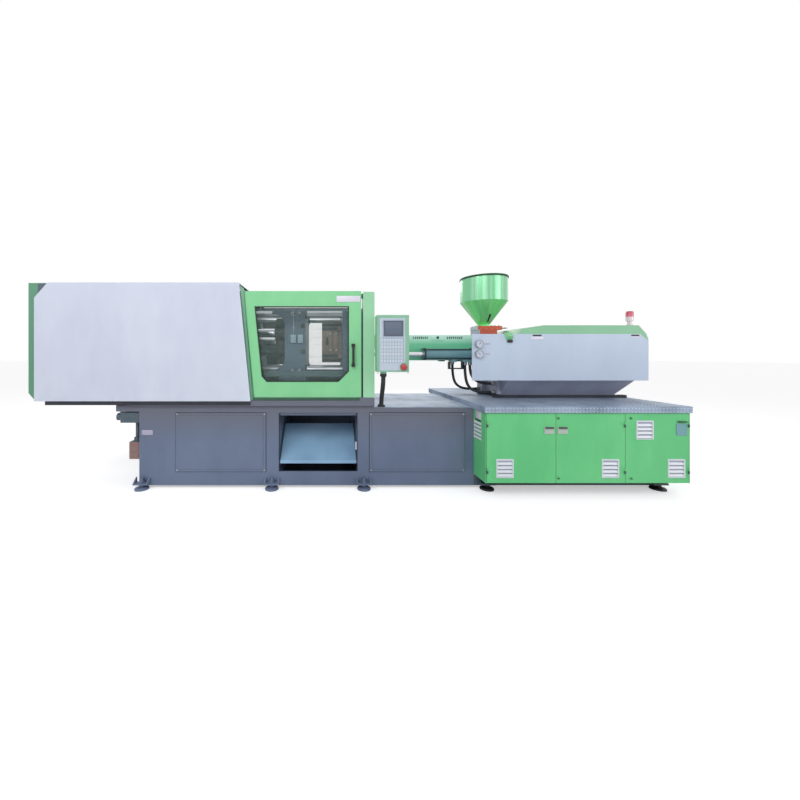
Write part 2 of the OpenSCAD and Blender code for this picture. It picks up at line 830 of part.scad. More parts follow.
mid_rail_z = casing_z + 222;
module gate_rails() color([0.33, 0.42, 0.44])
    both_sides() {
        box(post_l + tube + gap, x_bay, -side_y, -gate_back + 25, flange_top, gate_z - gap);
        box(post_l + tube + gap, x_column, -guide_y1, -guide_y0, gate_top - 60, gate_top - 20);
        box(post_r + tube + gap, x_column + 20, -guide_y0 + 1, -guide_y0 + 31,
            mid_rail_z, mid_rail_z + 50);
        box(x_column, x_bay - 2, -side_y + column_d + gap, -guide_y0 + 31,
            flange_top, gate_top - 60);
    }

// Gates. The front one is drawn, and the rear one mirrors it.
skin_t = 10;
back_left = x_casing - 30;
skin_left = x_casing + 38;
function gate_back_outline(inset) = [
    [back_left + inset, gate_top - inset], [x_gate - inset, gate_top - inset],
    [x_gate - inset, gate_z + inset], [back_left + casing_lean + inset, gate_z + inset]
];
window_x0 = x_casing + window_x;
window_x1 = window_x0 + window_l;
window_z1 = gate_top - window_drop;
window_z0 = window_z1 - window_h;
function window_outline(grow) = [
    [window_x0 - grow, window_z1 + grow], [window_x1 + grow, window_z1 + grow],
    [window_x1 + grow, window_z0 + 95 - grow / 2], [window_x1 - 95 + grow / 2, window_z0 - grow],
    [window_x0 + 110 - grow / 2, window_z0 - grow], [window_x0 + 66 - grow, window_z0 + 50 - grow / 2]
];

module gate_form() {
    difference() {
        union() {
            plate_xz([[skin_left, gate_top], [x_gate, gate_top], [x_gate, gate_z],
                [skin_left + casing_lean - 6, gate_z]], -gate_y, -gate_y + skin_t + 1);
            plate_xz(gate_back_outline(0), -gate_y + skin_t, -gate_back);
        }
        plate_xz(gate_back_outline(sheet), -gate_y + skin_t + sheet, -gate_back + 1);
        plate_xz(window_outline(0), -gate_y - 1, -gate_back + 1);
    }
}

// A pull handle on the gate's skin
handle_x = x_gate - 92;
handle_z = gate_z + 285;
handle_h = 213;
module pull_handle() {
    box(handle_x + 6, handle_x + 27, -gate_y - 34, -gate_y - 16, handle_z, handle_z + handle_h);
    for (z = [handle_z, handle_z + handle_h - 30])
        box(handle_x, handle_x + 33, -gate_y - 17, -gate_y, z, z + 30);
}

module front_gate() color([0.49, 0.82, 0.57])
    gate_form();

module front_gate_window() color([0.75, 0.85, 0.88, 0.35])
    plate_xz(window_outline(18), -gate_y + skin_t + sheet, -gate_y + skin_t + sheet + pane_t);

module front_gate_handle() color([0.10, 0.16, 0.12])
    pull_handle();

module rear_gate() color([0.49, 0.82, 0.57])
    mirror([0, 1, 0]) {
        gate_form();
        pull_handle();
    }

module rear_gate_window() color([0.75, 0.85, 0.88, 0.35])
    mirror([0, 1, 0])
        front_gate_window();

// Clamp
nozzle_hole_d = 170;
robot_pitch = 230;
fixed_foot_y = 300;

platen_chamfer = 16;
module platen_block(x0, x1) {
    half = platen_w / 2;
    flat = half - platen_chamfer;
    bar_yz([
        [-flat, axis_h - half], [flat, axis_h - half], [half, axis_h - flat], [half, axis_h + flat],
        [flat, axis_h + half], [-flat, axis_h + half], [-half, axis_h + flat], [-half, axis_h - flat]
    ], x0, x1);
}

module tie_holes(x0, x1)
    at_ties()
        rod_x(x0 - 1, x1 + 1, 0, 0, tie_d + 2 * slide_fit);

module mould_holes(x0, x1)
    for (y = [-1, 1], z = [-1, 0, 1])
        rod_x(x0, x1, y * mould_bolt_pitch, axis_h + z * mould_bolt_pitch, mould_bolt_d);

module fixed_platen() color([0.42, 0.50, 0.58])
    difference() {
        union() {
            platen_block(x_fixed0, x_fixed1);
            box(x_fixed0, x_fixed1, -fixed_foot_y, fixed_foot_y, flange_top, platen_bottom + 1);
        }
        tie_holes(x_fixed0, x_fixed1);
        mould_holes(x_fixed0 - 1, x_fixed0 + 60);
        rod_x(x_fixed0 - 1, x_fixed1 + 1, 0, axis_h, nozzle_hole_d);
        box(x_fixed0 - 1, x_fixed1 + 1, -way_y + way_w + 40, way_y - way_w - 40, flange_top - 1,
            flange_top + 120);
        for (x = [-1, 1], y = [-1, 1])
            rod_z((x_fixed0 + x_fixed1) / 2 + x * 70, y * robot_pitch / 2,
                axis_h + platen_w / 2 - 40, axis_h + platen_w / 2 + 1, 17.5);
    }

module rear_platen() color([0.42, 0.50, 0.58])
    difference() {
        union() {
            platen_block(x_rear0, x_rear1);
            both_sides()
                box(x_rear0, x_rear1, -way_y - way_w / 2 - 10, -way_y + way_w / 2 + 10,
                    way_top, platen_bottom + 1);
        }
        tie_holes(x_rear0, x_rear1);
        rod_x(x_rear0 - 1, x_rear1 + 1, 0, axis_h, ram_d + 2 * slide_fit);
        for (s = [-1, 1])
            rod_x(x_rear0 - 1, x_rear1 + 1, s * traverse_y, axis_h - s * traverse_z,
                traverse_d + 2 * slide_fit);
    }

module tie_bars() color([0.75, 0.76, 0.78])
    at_ties()
        rod_x(x_rear0 - nut_l - 30, x_fixed1 + nut_l + 20, 0, 0, tie_d);

module tie_bar_nuts() color([0.30, 0.33, 0.38])
    at_ties()
        for (x = [x_rear0 - nut_l, x_fixed1])
            difference() {
                rod_x(x, x + nut_l, 0, 0, nut_d);
                rod_x(x - 1, x + nut_l + 1, 0, 0, tie_d + 2 * slide_fit);
            }

module clamp_cylinders() color([0.33, 0.40, 0.50]) {
    difference() {
        rod_x(x_rear0 - cylinder_l, x_rear0, 0, axis_h, cylinder_d);
        rod_x(x_rear0 - cylinder_l + 40, x_rear0 + 1, 0, axis_h, ram_d + 2 * slide_fit);
    }
    for (s = [-1, 1])
        difference() {
            rod_x(x_rear0 - cylinder_l, x_rear0, s * traverse_y, axis_h - s * traverse_z, traverse_case_d);
            rod_x(x_rear0 - cylinder_l + 40, x_rear0 + 1, s * traverse_y, axis_h - s * traverse_z,
                traverse_d + 2 * slide_fit);
        }
}

// Machined ways: two under the platens, two under the injection carriage
module slide_rails() color([0.20, 0.22, 0.25])
    both_sides() {
        box(x_rear0 - 10, x_fixed0 - 10, -way_y - way_w / 2, -way_y + way_w / 2, flange_top, way_top);
        box(x_carriage - 60, x_cab_end - 20, -carriage_foot_w / 2, -carriage_foot_w / 2 + rail_w,
            rear_deck_h, carriage_z);
    }

module mould_half() color([0.42, 0.36, 0.32]) {
    difference() {
        box(x_mould, x_fixed0, -mould_w / 2, mould_w / 2, axis_h - mould_h / 2, axis_h + mould_h / 2);
        box(x_mould - 1, x_mould + 45, -70, 70, axis_h - 90, axis_h + 90);
        rod_x(x_mould - 1, x_fixed0 + 1, 0, axis_h, 8);
    }
    for (z = [-1, 1])
        box(x_fixed0 - 46, x_fixed0, -mould_w / 2 - 28, mould_w / 2 + 28,
            axis_h + z * (mould_h / 2 - 62) - 20, axis_h + z * (mould_h / 2 - 62) + 20);
}

// Curved webs behind the moving platen stiffen its corners outside the tie bars
web_l = 126;
web_h = 140;
web_tip = 34;
web_t = platen_margin - tie_d / 2 - 4;
module platen_web() {
    top = axis_h + platen_w / 2 - platen_chamfer;
    curve = [for (a = [90:-15:0]) [web_l * (cos(a) - 1), top - web_h + (web_h - web_tip) * sin(a)]];
    translate([x_moving0, -platen_w / 2 + web_t, 0])
        rotate([90, 0, 0])
            linear_extrude(web_t)
                polygon(concat(curve, [[1, top - web_h], [1, top], [-web_l, top]]));
}

module moving_platen() color([0.36, 0.43, 0.53])
    difference() {
        union() {
            platen_block(x_moving0, x_moving1);
            both_sides() {
                platen_web();
                translate([0, 0, 2 * axis_h])
                    mirror([0, 0, 1])
                        platen_web();
            }
            both_sides()
                box(x_moving0 - 60, x_moving1, -way_y - way_w / 2 - 8, -way_y + way_w / 2 + 8,
                    way_top + gap, platen_bottom + 1);
        }
        tie_holes(x_moving0, x_moving1);
        mould_holes(x_moving1 - 60, x_moving1 + 1);
        for (y = [-1, 1])
            rod_x(x_moving0 - 1, x_moving1 + 1, y * ejector_pitch, axis_h, ejector_d + 2 * slide_fit);
    }

housing_y = traverse_y - traverse_d / 2 - 8;
housing_z = 230;
housing_wall = 14;
ejector_travel = 70;
module ejector_housing() color([0.13, 0.15, 0.16]) {
    x0 = x_moving0 - ejector_l;
    difference() {
        box(x0, x_moving0, -housing_y, housing_y, axis_h - housing_z, axis_h + housing_z);
        box(x0 + housing_wall, x_moving0 + 1, -housing_y + 10, housing_y - 10,
            axis_h - 60, axis_h + 60);
    }
    for (z = [-190:76:190])
        box(x0 - 6, x0 + 1, -housing_y + 10, housing_y - 10, axis_h + z - 14, axis_h + z + 14);
}

module clamp_rods() color([0.82, 0.83, 0.85]) {
    x0 = x_rear0 - ram_in;
    x1 = x_moving0 - ejector_l - 6;
    rod_x(x0, x1, 0, axis_h, ram_d);
    for (s = [-1, 1])
        rod_x(x0, x_moving0, s * traverse_y, axis_h - s * traverse_z, traverse_d);
}

// Cross bar and rods; they push forward through the moving platen
module ejector_pins() color([0.70, 0.71, 0.74]) {
    x0 = x_moving0 - ejector_l + housing_wall + gap;
    box(x0, x_moving0 - ejector_travel - gap, -housing_y + 12, housing_y - 12,
        axis_h - 40, axis_h + 40);
    for (y = [-1, 1])
        rod_x(x0, x_moving1 - 20, y * ejector_pitch, axis_h, ejector_d);
}

// Control box
x_control = x_bay + control_x;
x_control1 = x_control + control_l;
control_front = gate_y + control_out;
control_back = control_front - control_d;
control_top = control_z + control_h;
box_wall = 3;
face_t = 4;
face_x0 = x_control + 22;
face_x1 = x_control1 - 34;
face_z0 = control_z + 14;
face_z1 = control_top - 28;
screen_x0 = face_x0 + 34;
screen_x1 = face_x1 - 20;
screen_z1 = face_z1 - 24;
screen_z0 = screen_z1 - 137;
estop_x = face_x1 - 14;
estop_z = control_z + 44;
stem_d = 22;
arm_z = control_z + 200;
arm_h = 140;
conduit_x = x_control + 68;

module control_box() color([0.58, 0.75, 0.64]) {
    difference() {
        box(x_control, x_control1, -control_front, -control_back, control_z, control_top);
        box(x_control + box_wall, x_control1 - box_wall, -control_front + box_wall,
            -control_back - box_wall, control_z + box_wall, control_top - box_wall);
        rod_y(estop_x, -control_front - 1, -control_front + box_wall + 1, estop_z,
            stem_d + 2 * slide_fit);
        rod_y(estop_x, -control_front - 1, -control_front + 0.5, estop_z, estop_d + 14);
    }
    box(x_bay, x_control1 - 60, -control_back, -control_back + 45, arm_z, arm_z + arm_h);
    rod_z(conduit_x, -control_front + 80, control_z - 20, control_z, conduit_d + 14);
}

module control_screen() color([0.28, 0.33, 0.42])
    box(screen_x0, screen_x1, -control_front - face_t - 3, -control_front - face_t,
        screen_z0, screen_z1);

key_cols = 8;
key_rows = 7;
module control_keys() color([0.74, 0.80, 0.84]) {
    difference() {
        box(face_x0, face_x1, -control_front - face_t, -control_front, face_z0, face_z1);
        rod_y(estop_x, -control_front - face_t - 1, -control_front + 1, estop_z, estop_d + 14);
    }
    pitch_x = (face_x1 - face_x0 - 30) / key_cols;
    pitch_z = (screen_z0 - face_z0 - 90) / key_rows;
    for (c = [0:key_cols - 1], r = [0:key_rows - 1])
        translate([face_x0 + 12 + c * pitch_x, -control_front - face_t - 1.5, face_z0 + 72 + r * pitch_z])
            cube([pitch_x - 7, 2.5, pitch_z - 6]);
}

module estop_button() color([0.76, 0.10, 0.08]) {
    front = control_front + estop_travel + 1.5;
    rod_y(estop_x, -front, -control_front + box_wall + 20, estop_z, stem_d);
    translate([estop_x, -front, estop_z])
        rotate([90, 0, 0])
            rotate_extrude()
                polygon([[0, 0], [estop_d / 2 - 3, 0], [estop_d / 2, 4], [estop_d / 2, 10],
                    [estop_d / 2 - 5, 17], [estop_d / 4, 20], [0, 21]]);
}

// Sweep of a tube along a list of points
function unit(v) = v / norm(v);
function tangent(p, i) = unit(p[min(i + 1, len(p) - 1)] - p[max(i - 1, 0)]);
function ring(c, t, up, r, n) =
    let (u = unit(cross(t, up)), v = cross(u, t))
    [for (k = [0:n - 1]) c + r * (cos(360 * k / n) * u + sin(360 * k / n) * v)];
module tube_along(p, d, up, n = 12) {
    m = len(p);
    points = [for (i = [0:m - 1]) each ring(p[i], tangent(p, i), up, d / 2, n)];
    sides = [for (i = [0:m - 2], k = [0:n - 1])
        [i * n + k, i * n + (k + 1) % n, (i + 1) * n + (k + 1) % n, (i + 1) * n + k]];
    ends = [[for (k = [n - 1:-1:0]) k], [for (k = [0:n - 1]) (m - 1) * n + k]];
    polyhedron(points, concat(sides, ends), convexity = 4);
}

conduit_route = [
    [322, -640, 1076], [322, -640, 1054], [322, -637, 1028], [322, -629, 996],
    [322, -615, 962], [322, -597, 930], [322, -576, 898], [322, -556, 866],
    [322, -540, 834], [322, -529, 804], [322, -524, 782], [322, -524, 760.3]
];
module panel_conduit() color([0.09, 0.09, 0.10])
    tube_along(conduit_route, conduit_d, [1, 0, 0]);

// Injection unit
rod_end = x_bay + push_x + push_l - 40;
module carriage_rods() color([0.80, 0.81, 0.84])
    both_sides() {
        rod_x(x_fixed1, rod_end, -push_y, push_z, push_rod_d);
        rod_x(x_fixed1, x_fixed1 + 20, -push_y, push_z, push_rod_d + 40);
    }

module carriage_cylinders() color([0.16, 0.18, 0.20])
    both_sides() {
        x0 = x_bay + push_x;
        difference() {
            union() {
                rod_x(x0, x0 + push_l, -push_y, push_z, push_d);
                rod_x(x0 + push_l - 1, x_plate, -push_y, push_z, push_rod_d);
                difference() {
                    box(x_cab - 85, x_cab + 150, -push_y - 40, -push_y + 40,
                        push_z - push_d / 2 - 25, push_z - push_d / 4);
                    box(x_cab - 30, x_cab + 40, -push_y - 41, -push_y + 41,
                        push_z - push_d / 2 - 26, push_z - push_d / 2 - 2);
                }
            }
            rod_x(x0 - 1, x0 + push_l - 20, -push_y, push_z, push_rod_d + 2 * slide_fit);
        }
    }

guard_top = axis_h + guard_up;
guard_bottom = axis_h - guard_down;
guard_x0 = x_bay + guard_x;
feed_x0 = x_hopper - feed_half;
guard_slots1 = 308;
guard_slots2 = 672;
slot_pitch = 21;
module barrel_guard() color([0.45, 0.72, 0.55])
    difference() {
        box(guard_x0, feed_x0 - gap, -guard_w / 2, guard_w / 2, guard_bottom, guard_top);
        box(guard_x0 + 3, feed_x0, -guard_w / 2 + 3, guard_w / 2 - 3, guard_bottom - 1, guard_top - 3);
        rod_x(guard_x0 - 1, guard_x0 + 4, 0, axis_h, barrel_d + 2 * band_t + 6);
        box(guard_x0 - 1, guard_x0 + 4, -barrel_d / 2 - band_t - 3, barrel_d / 2 + band_t + 3,
            guard_bottom - 1, axis_h);
        for (group = [guard_slots1, guard_slots2], i = [0:7])
            translate([guard_x0 + group + i * slot_pitch, -guard_w, guard_top - 40])
                cube([slot_pitch / 2, 2 * guard_w, 24]);
    }

nozzle_l = 190;
barrel_x0 = x_fixed0 + gap;
module barrel() color([0.35, 0.36, 0.38]) {
    r = barrel_d / 2;
    translate([barrel_x0, 0, axis_h])
        rotate([0, 90, 0])
            rotate_extrude()
                polygon([
                    [3, 0], [12, 0], [18, 8], [22, 60], [30, 62], [30, 130], [r - 6, nozzle_l - 6],
                    [r, nozzle_l], [r, x_plate - barrel_x0], [screw_d / 2 + slide_fit, x_plate - barrel_x0],
                    [screw_d / 2 + slide_fit, nozzle_l + 30], [3, nozzle_l]
                ]);
    for (i = [0:4])
        translate([x_fixed1 + 100 + i * 215, 0, axis_h])
            rotate([0, 90, 0])
                difference() {
                    cylinder(h = band_l, r = r + gap + band_t);
                    translate([0, 0, -1])
                        cylinder(h = band_l + 2, r = r + gap);
                }
}

screw_x0 = barrel_x0 + nozzle_l + 40;
screw_len = x_plate + plate_l + 500 - screw_x0;
flight_l = x_hopper + 60 - screw_x0;
module screw() color([0.72, 0.73, 0.76]) {
    r = screw_d / 2 - gap;
    rod_x(screw_x0, screw_x0 + screw_len, 0, axis_h, 0.68 * screw_d);
    translate([screw_x0, 0, axis_h])
        rotate([0, 90, 0])
            linear_extrude(flight_l, twist = -360 * flight_l / screw_d, slices = 340, segments = 5)
                polygon([[0, -5], [r - 0.5, -3.5], [r, 0], [r - 0.5, 3.5], [0, 5]]);
}

block_up = 64;
block_down = 90;
module feed_block() color([0.47, 0.52, 0.58])
    difference() {
        union() {
            box(feed_x0, x_hopper + feed_half, -feed_half, feed_half, axis_h - block_down, slide_z);
            box(feed_x0, x_plate, -feed_half, feed_half, axis_h - block_down, axis_h + block_up);
        }
        rod_x(feed_x0 - 1, x_plate + 1, 0, axis_h, barrel_d + 2 * slide_fit);
        rod_z(x_hopper, 0, axis_h, slide_z + 1, 2 * throat_r - 20);
    }

cylinder_y = 200;
inj_d = 120;
inj_rod_d = 60;
inj_extra = 160;
inj_l = screw_stroke + inj_extra;
plate_half = cylinder_y + inj_rod_d / 2 + 60;
cross_half = plate_half - 20;
module injection_cylinders() color([0.33, 0.40, 0.50]) {
    difference() {
        box(x_plate, x_plate + plate_l, -plate_half, plate_half, cover_z, axis_h + block_up);
        rod_x(x_plate - 1, x_plate + plate_l + 1, 0, axis_h, screw_d + 10);
        both_sides()
            rod_x(x_plate + 10, x_plate + plate_l + 1, -cylinder_y, axis_h, inj_rod_d + 2 * slide_fit);
    }
    both_sides()
        difference() {
            rod_x(x_plate + plate_l, x_plate + plate_l + inj_l, -cylinder_y, axis_h, inj_d);
            rod_x(x_plate + plate_l - 1, x_plate + plate_l + inj_l + 1, -cylinder_y, axis_h,
                inj_rod_d + 2 * slide_fit);
        }
}

// Cross plate with its motor and rods: it drives the screw forward and turns it
cross_x = x_plate + plate_l + inj_l + 20;
cross_l = 60;
module screw_motor() color([0.20, 0.24, 0.30]) {
    difference() {
        union() {
            box(cross_x, cross_x + cross_l, -cross_half, cross_half, axis_h - 60, axis_h + block_up);
            rod_x(cross_x + cross_l - 1, cross_x + cross_l + motor_l, 0, axis_h - 60 + 4, motor_d * 0.5);
            rod_x(cross_x + cross_l + 60, cross_x + cross_l + motor_l - 30, 0, axis_h - 60, motor_d);
        }
        rod_x(cross_x - 1, cross_x + cross_l + 61, 0, axis_h, 0.68 * screw_d + 2 * slide_fit);
    }
    both_sides()
        rod_x(x_plate + 20, cross_x + 1, -cylinder_y, axis_h, inj_rod_d);
}

module carriage_base() color([0.50, 0.53, 0.60]) {
    foot = carriage_foot_w / 2;
    top = carriage_top_w / 2;
    wall = 14;
    z0 = carriage_z + gap;
    difference() {
        bar_yz([[-foot, z0], [foot, z0], [top, cover_z], [-top, cover_z]], x_carriage, x_carriage1);
        bar_yz([[-foot + wall, z0 - 1], [foot - wall, z0 - 1], [foot - wall, z0 + 12],
            [top - wall, cover_z - wall], [-top + wall, cover_z - wall], [-foot + wall, z0 + 12]],
            x_carriage + wall, x_carriage1 - wall);
        plate_xz([[x_carriage1 - 75, z0 - 1], [x_carriage1 + 1, z0 - 1], [x_carriage1 + 1, cover_z - 10]],
            -top - 1, top + 1);
    }
    both_sides()
        box(x_carriage, x_carriage1 - 90, -foot, -foot + rail_w, z0, z0 + 12);
    both_sides()
        box(x_carriage - port_l, x_carriage + 1, -foot - 30, -foot + 90, z0 + 12, cover_z - gap);
}

port_l = 40;
wall_t = sheet;
x_top = x_cover + 475;
corner = 65;
front_ahead = 375;
front_lip = 30;

// On the operator's side the cover reaches ahead of its open left end, past the gauges
module injection_cover() color([0.79, 0.83, 0.90])
    difference() {
        plate_xz([[x_cover, cover_z], [x_cover1, cover_z], [x_cover1, cover_top_z - corner],
            [x_cover1 - corner - 15, cover_top_z], [x_cover, cover_top_z]], -cover_y, cover_y);
        plate_xz([[x_cover + wall_t, cover_z - 1], [x_cover1 - wall_t, cover_z - 1],
            [x_cover1 - wall_t, cover_top_z - corner - 2],
            [x_cover1 - corner - 17, cover_top_z - wall_t], [x_cover + wall_t, cover_top_z - wall_t]],
            -cover_y + wall_t, cover_y - wall_t);
        box(x_cover - 1, x_cover + front_ahead, -cover_y + wall_t, cover_y + 1, cover_z - 1,
            cover_top_z - wall_t);
        box(x_cover - 1, x_cover + front_ahead, -cover_y + front_lip, cover_y + 1,
            cover_top_z - wall_t - 1, cover_top_z + 1);
        box(x_hopper - feed_half - 2, x_hopper + feed_half + 2, -feed_half - 2, feed_half + 2,
            cover_top_z - wall_t - 1, cover_top_z + 1);
        box(x_top + 60, x_cover1 - corner - 80, -cover_y + top_inset, cover_y - top_inset,
            cover_top_z - wall_t - 1, cover_top_z + 1);
    }

// The bevelled top is the common part of a long and a cross section; its end wraps the panel's corner
tip_h = 9;
module top_form(inset, drop) {
    intersection() {
        plate_xz([[x_top + inset, cover_top_z - drop],
            [x_top + 40 + inset, cover_top_z + 55 - inset], [x_top + 260, top_z - inset],
            [x_cover1 - 50 - inset, top_z - inset],
            [x_cover1 - inset, cover_top_z - corner + tip_h - drop],
            [x_cover1 - inset, cover_top_z - corner - drop]],
            -cover_y, cover_y);
        bar_yz([[-cover_y + inset, cover_top_z - corner - drop - 1],
            [cover_y - inset, cover_top_z - corner - drop - 1],
            [cover_y - inset, cover_top_z], [cover_y - top_inset - inset, top_z - inset],
            [-cover_y + top_inset + inset, top_z - inset], [-cover_y + inset, cover_top_z]],
            x_top, x_cover1);
    }
}

module cover_top() color([0.47, 0.80, 0.60])
    difference() {
        top_form(0, 0);
        top_form(sheet, 1);
        plate_xz([[x_cover, cover_z], [x_cover1 + 1, cover_z], [x_cover1 + 1, cover_top_z - corner],
            [x_cover1 - corner - 15, cover_top_z], [x_cover, cover_top_z]], -cover_y - 1, cover_y + 1);
    }

gauge_x = x_cover + 65;
module pressure_gauges() color([0.62, 0.66, 0.74])
    for (z = [axis_h - 24, axis_h - 122]) {
        rod_y(gauge_x, -cover_y - gauge_t, -cover_y, z, gauge_d);
        difference() {
            rod_y(gauge_x, -cover_y - gauge_t - 4, -cover_y - gauge_t + 1, z, gauge_d);
            rod_y(gauge_x, -cover_y - gauge_t - 5, -cover_y - gauge_t, z, gauge_d - 10);
        }
    }

lamp_x = x_cover1 - 100;
lamp_y = -cover_y + top_inset + lamp_d / 2 + 12;
module alarm_lamp() color([0.75, 0.24, 0.30])
    translate([lamp_x, lamp_y, top_z])
        rotate_extrude()
            polygon([[0, 0], [lamp_d * 0.42, 0], [lamp_d * 0.42, 12], [lamp_d * 0.3, 14],
                [lamp_d * 0.3, lamp_h * 0.3], [lamp_d / 2, lamp_h * 0.31], [lamp_d / 2, lamp_h - 14],
                [lamp_d * 0.46, lamp_h - 5], [lamp_d * 0.36, lamp_h], [0, lamp_h]]);

// Hopper
neck_h = 20;
flange_r = 95;
module hopper() color([0.50, 0.80, 0.60])
    translate([x_hopper, 0, 0])
        rotate_extrude()
            polygon([
                [throat_r, hopper_z], [flange_r, hopper_z], [flange_r, hopper_z + 8],
                [throat_r + hopper_t, hopper_z + 8], [throat_r + hopper_t, hopper_z + neck_h],
                [hopper_r, cone_top], [hopper_r, hopper_top - 6], [hopper_r + 5, hopper_top - 6],
                [hopper_r + 5, hopper_top], [hopper_r - hopper_t, hopper_top],
                [hopper_r - hopper_t, cone_top + 2], [throat_r, hopper_z + neck_h + 2]
            ]);

lid_t = 4;
lid_hinge_y = hopper_r + 16;
lid_hinge_z = hopper_top + 4;
module hopper_lid() color([0.55, 0.78, 0.62]) {
    difference() {
        union() {
            rod_z(x_hopper, 0, hopper_top + gap, hopper_top + lid_t + gap, 2 * hopper_r + 6);
            box(x_hopper - 30, x_hopper + 30, hopper_r - 30, lid_hinge_y,
                hopper_top + gap, hopper_top + lid_t + gap);
            rod_x(x_hopper - 30, x_hopper + 30, lid_hinge_y, lid_hinge_z, 10);
        }
        rod_x(x_hopper - 31, x_hopper + 31, lid_hinge_y, lid_hinge_z, pin_d + 2 * slide_fit);
    }
    translate([x_hopper, -hopper_r + 60, hopper_top + lid_t])
        cylinder(h = 6, d = 40);
}

slide_x0 = x_hopper - 104;
slide_x1 = slide_x0 + slide_l;
slide_half = 98;
blade_z = slide_z + slide_h / 2 - 1;
module hopper_base() color([0.75, 0.31, 0.20]) {
    difference() {
        box(slide_x0, slide_x1, -slide_half, slide_half, slide_z, hopper_z);
        box(slide_x0 + 20, slide_x1 + 1, -throat_r - 14, throat_r + 14,
            blade_z - gap, blade_z + blade_t + gap);
        rod_z(x_hopper, 0, slide_z - 1, hopper_z + 1, 2 * throat_r);
    }
}

module hopper_shutter() color([0.62, 0.64, 0.60]) {
    half = throat_r + 14 - gap;
    box(x_hopper + throat_r + 2 + gap - blade_travel, slide_x1 + 30, -half, half,
        blade_z, blade_z + blade_t);
    box(slide_x1 + 29, slide_x1 + 96, -40, 40, blade_z, blade_z + blade_t);
    rod_z(slide_x1 + 80, 0, blade_z - 1, blade_z + blade_t + 8, 30);
}

module lubricator() color([0.34, 0.36, 0.42]) {
    x = x_base - 55;
    y = -base_y + 70;
    box(x_base - 190, x_base, y - 50, y + 60, base_top - 110, base_top - 12);
    rod_x(x_base - 240, x_base - 189, y, base_top - 60, 70);
    rod_z(x, y, base_top - 260, base_top - 109, 34);
    rod_z(x, y, base_top - 290, base_top - 255, 60);
    box(x - 48, x_base, y - 55, y + 60, base_top - 450, base_top - 288);
}

// Hoses from the carriage cylinders' ports to the port blocks of the carriage base
hose_low_route = [
    [1256, -176, 1174], [1256, -176, 1120], [1258, -176, 1070], [1263, -176, 1020],
    [1272, -176, 974], [1288, -176, 932], [1316, -176, 898], [1358, -176, 874],
    [1410, -176, 862], [1470, -176, 858], [1520, -176, 860], [1567, -176, 860]
];
hose_high_route = [
    [1308, -176, 1174], [1308, -176, 1134], [1312, -176, 1088], [1324, -176, 1042],
    [1350, -176, 1000], [1392, -176, 970], [1444, -176, 954], [1504, -176, 948],
    [1567, -176, 948]
];
module hose_front_low() color([0.08, 0.09, 0.10])
    tube_along(hose_low_route, hose_d, [0, 1, 0], 10);

module hose_front_high() color([0.08, 0.09, 0.10])
    tube_along(hose_high_route, hose_d, [0, 1, 0], 10);

module hose_rear() color([0.08, 0.09, 0.10])
    mirror([0, 1, 0])
        tube_along(hose_low_route, hose_d, [0, 1, 0], 10);

base_frame();
base_panels();
chute_plate();
levelling_feet();
rear_frame();
deck_plates();
cabinet_panels();
oil_tank();
pump_set();
switch_gear();
casing_end();
casing_sides();
casing_frame();
guard_columns();
gate_rails();
fixed_platen();
rear_platen();
tie_bars();
tie_bar_nuts();
clamp_cylinders();
slide_rails();
mould_half();
control_box();
control_screen();
control_keys();
panel_conduit();
carriage_rods();
lubricator();
front_gate();
front_gate_window();
front_gate_handle();
rear_gate();
rear_gate_window();
moving_platen();
ejector_housing();
clamp_rods();
ejector_pins();
estop_button();
door_left();
door_middle();
door_right();
carriage_base();
injection_cover();
cover_top();
barrel();
barrel_guard();
carriage_cylinders();
pressure_gauges();
alarm_lamp();
feed_block();
injection_cylinders();
screw_motor();
screw();
hopper();
hopper_base();
hopper_lid();
hopper_shutter();
hose_front_low();
hose_front_high();
hose_rear();
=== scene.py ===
# %% [markdown]
# Injection moulding machine, dressed in Blender. The construction is already there: sheet metal, platens,
# bars, doors and guards come in as a fixed frame, each solid under its own name, in metres. This script
# gives every one of them its finish and adds what is too fine for the construction: seals, dials, plates,
# bolts. The frame is loaded first, so that every later place can be read from it instead of being typed.
# %% Load the frame
import bpy
import bmesh
import json
from math import cos, sin, pi, radians
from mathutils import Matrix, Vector


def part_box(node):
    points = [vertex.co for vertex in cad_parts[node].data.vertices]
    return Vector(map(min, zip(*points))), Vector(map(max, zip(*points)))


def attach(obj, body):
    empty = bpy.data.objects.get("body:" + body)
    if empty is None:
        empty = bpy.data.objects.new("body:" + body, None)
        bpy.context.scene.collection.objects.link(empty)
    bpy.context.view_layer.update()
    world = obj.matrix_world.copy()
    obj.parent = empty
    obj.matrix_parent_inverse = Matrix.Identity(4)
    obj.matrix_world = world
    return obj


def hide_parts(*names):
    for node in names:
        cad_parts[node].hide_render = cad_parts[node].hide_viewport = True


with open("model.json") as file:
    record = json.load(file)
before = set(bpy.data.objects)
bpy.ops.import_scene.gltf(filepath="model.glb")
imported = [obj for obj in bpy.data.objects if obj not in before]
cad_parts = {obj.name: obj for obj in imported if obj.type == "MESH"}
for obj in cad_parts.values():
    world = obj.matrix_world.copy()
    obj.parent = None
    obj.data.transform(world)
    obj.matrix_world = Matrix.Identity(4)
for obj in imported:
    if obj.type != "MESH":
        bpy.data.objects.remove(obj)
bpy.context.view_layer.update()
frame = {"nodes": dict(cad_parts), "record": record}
nodes = frame["nodes"]
scene = bpy.context.scene

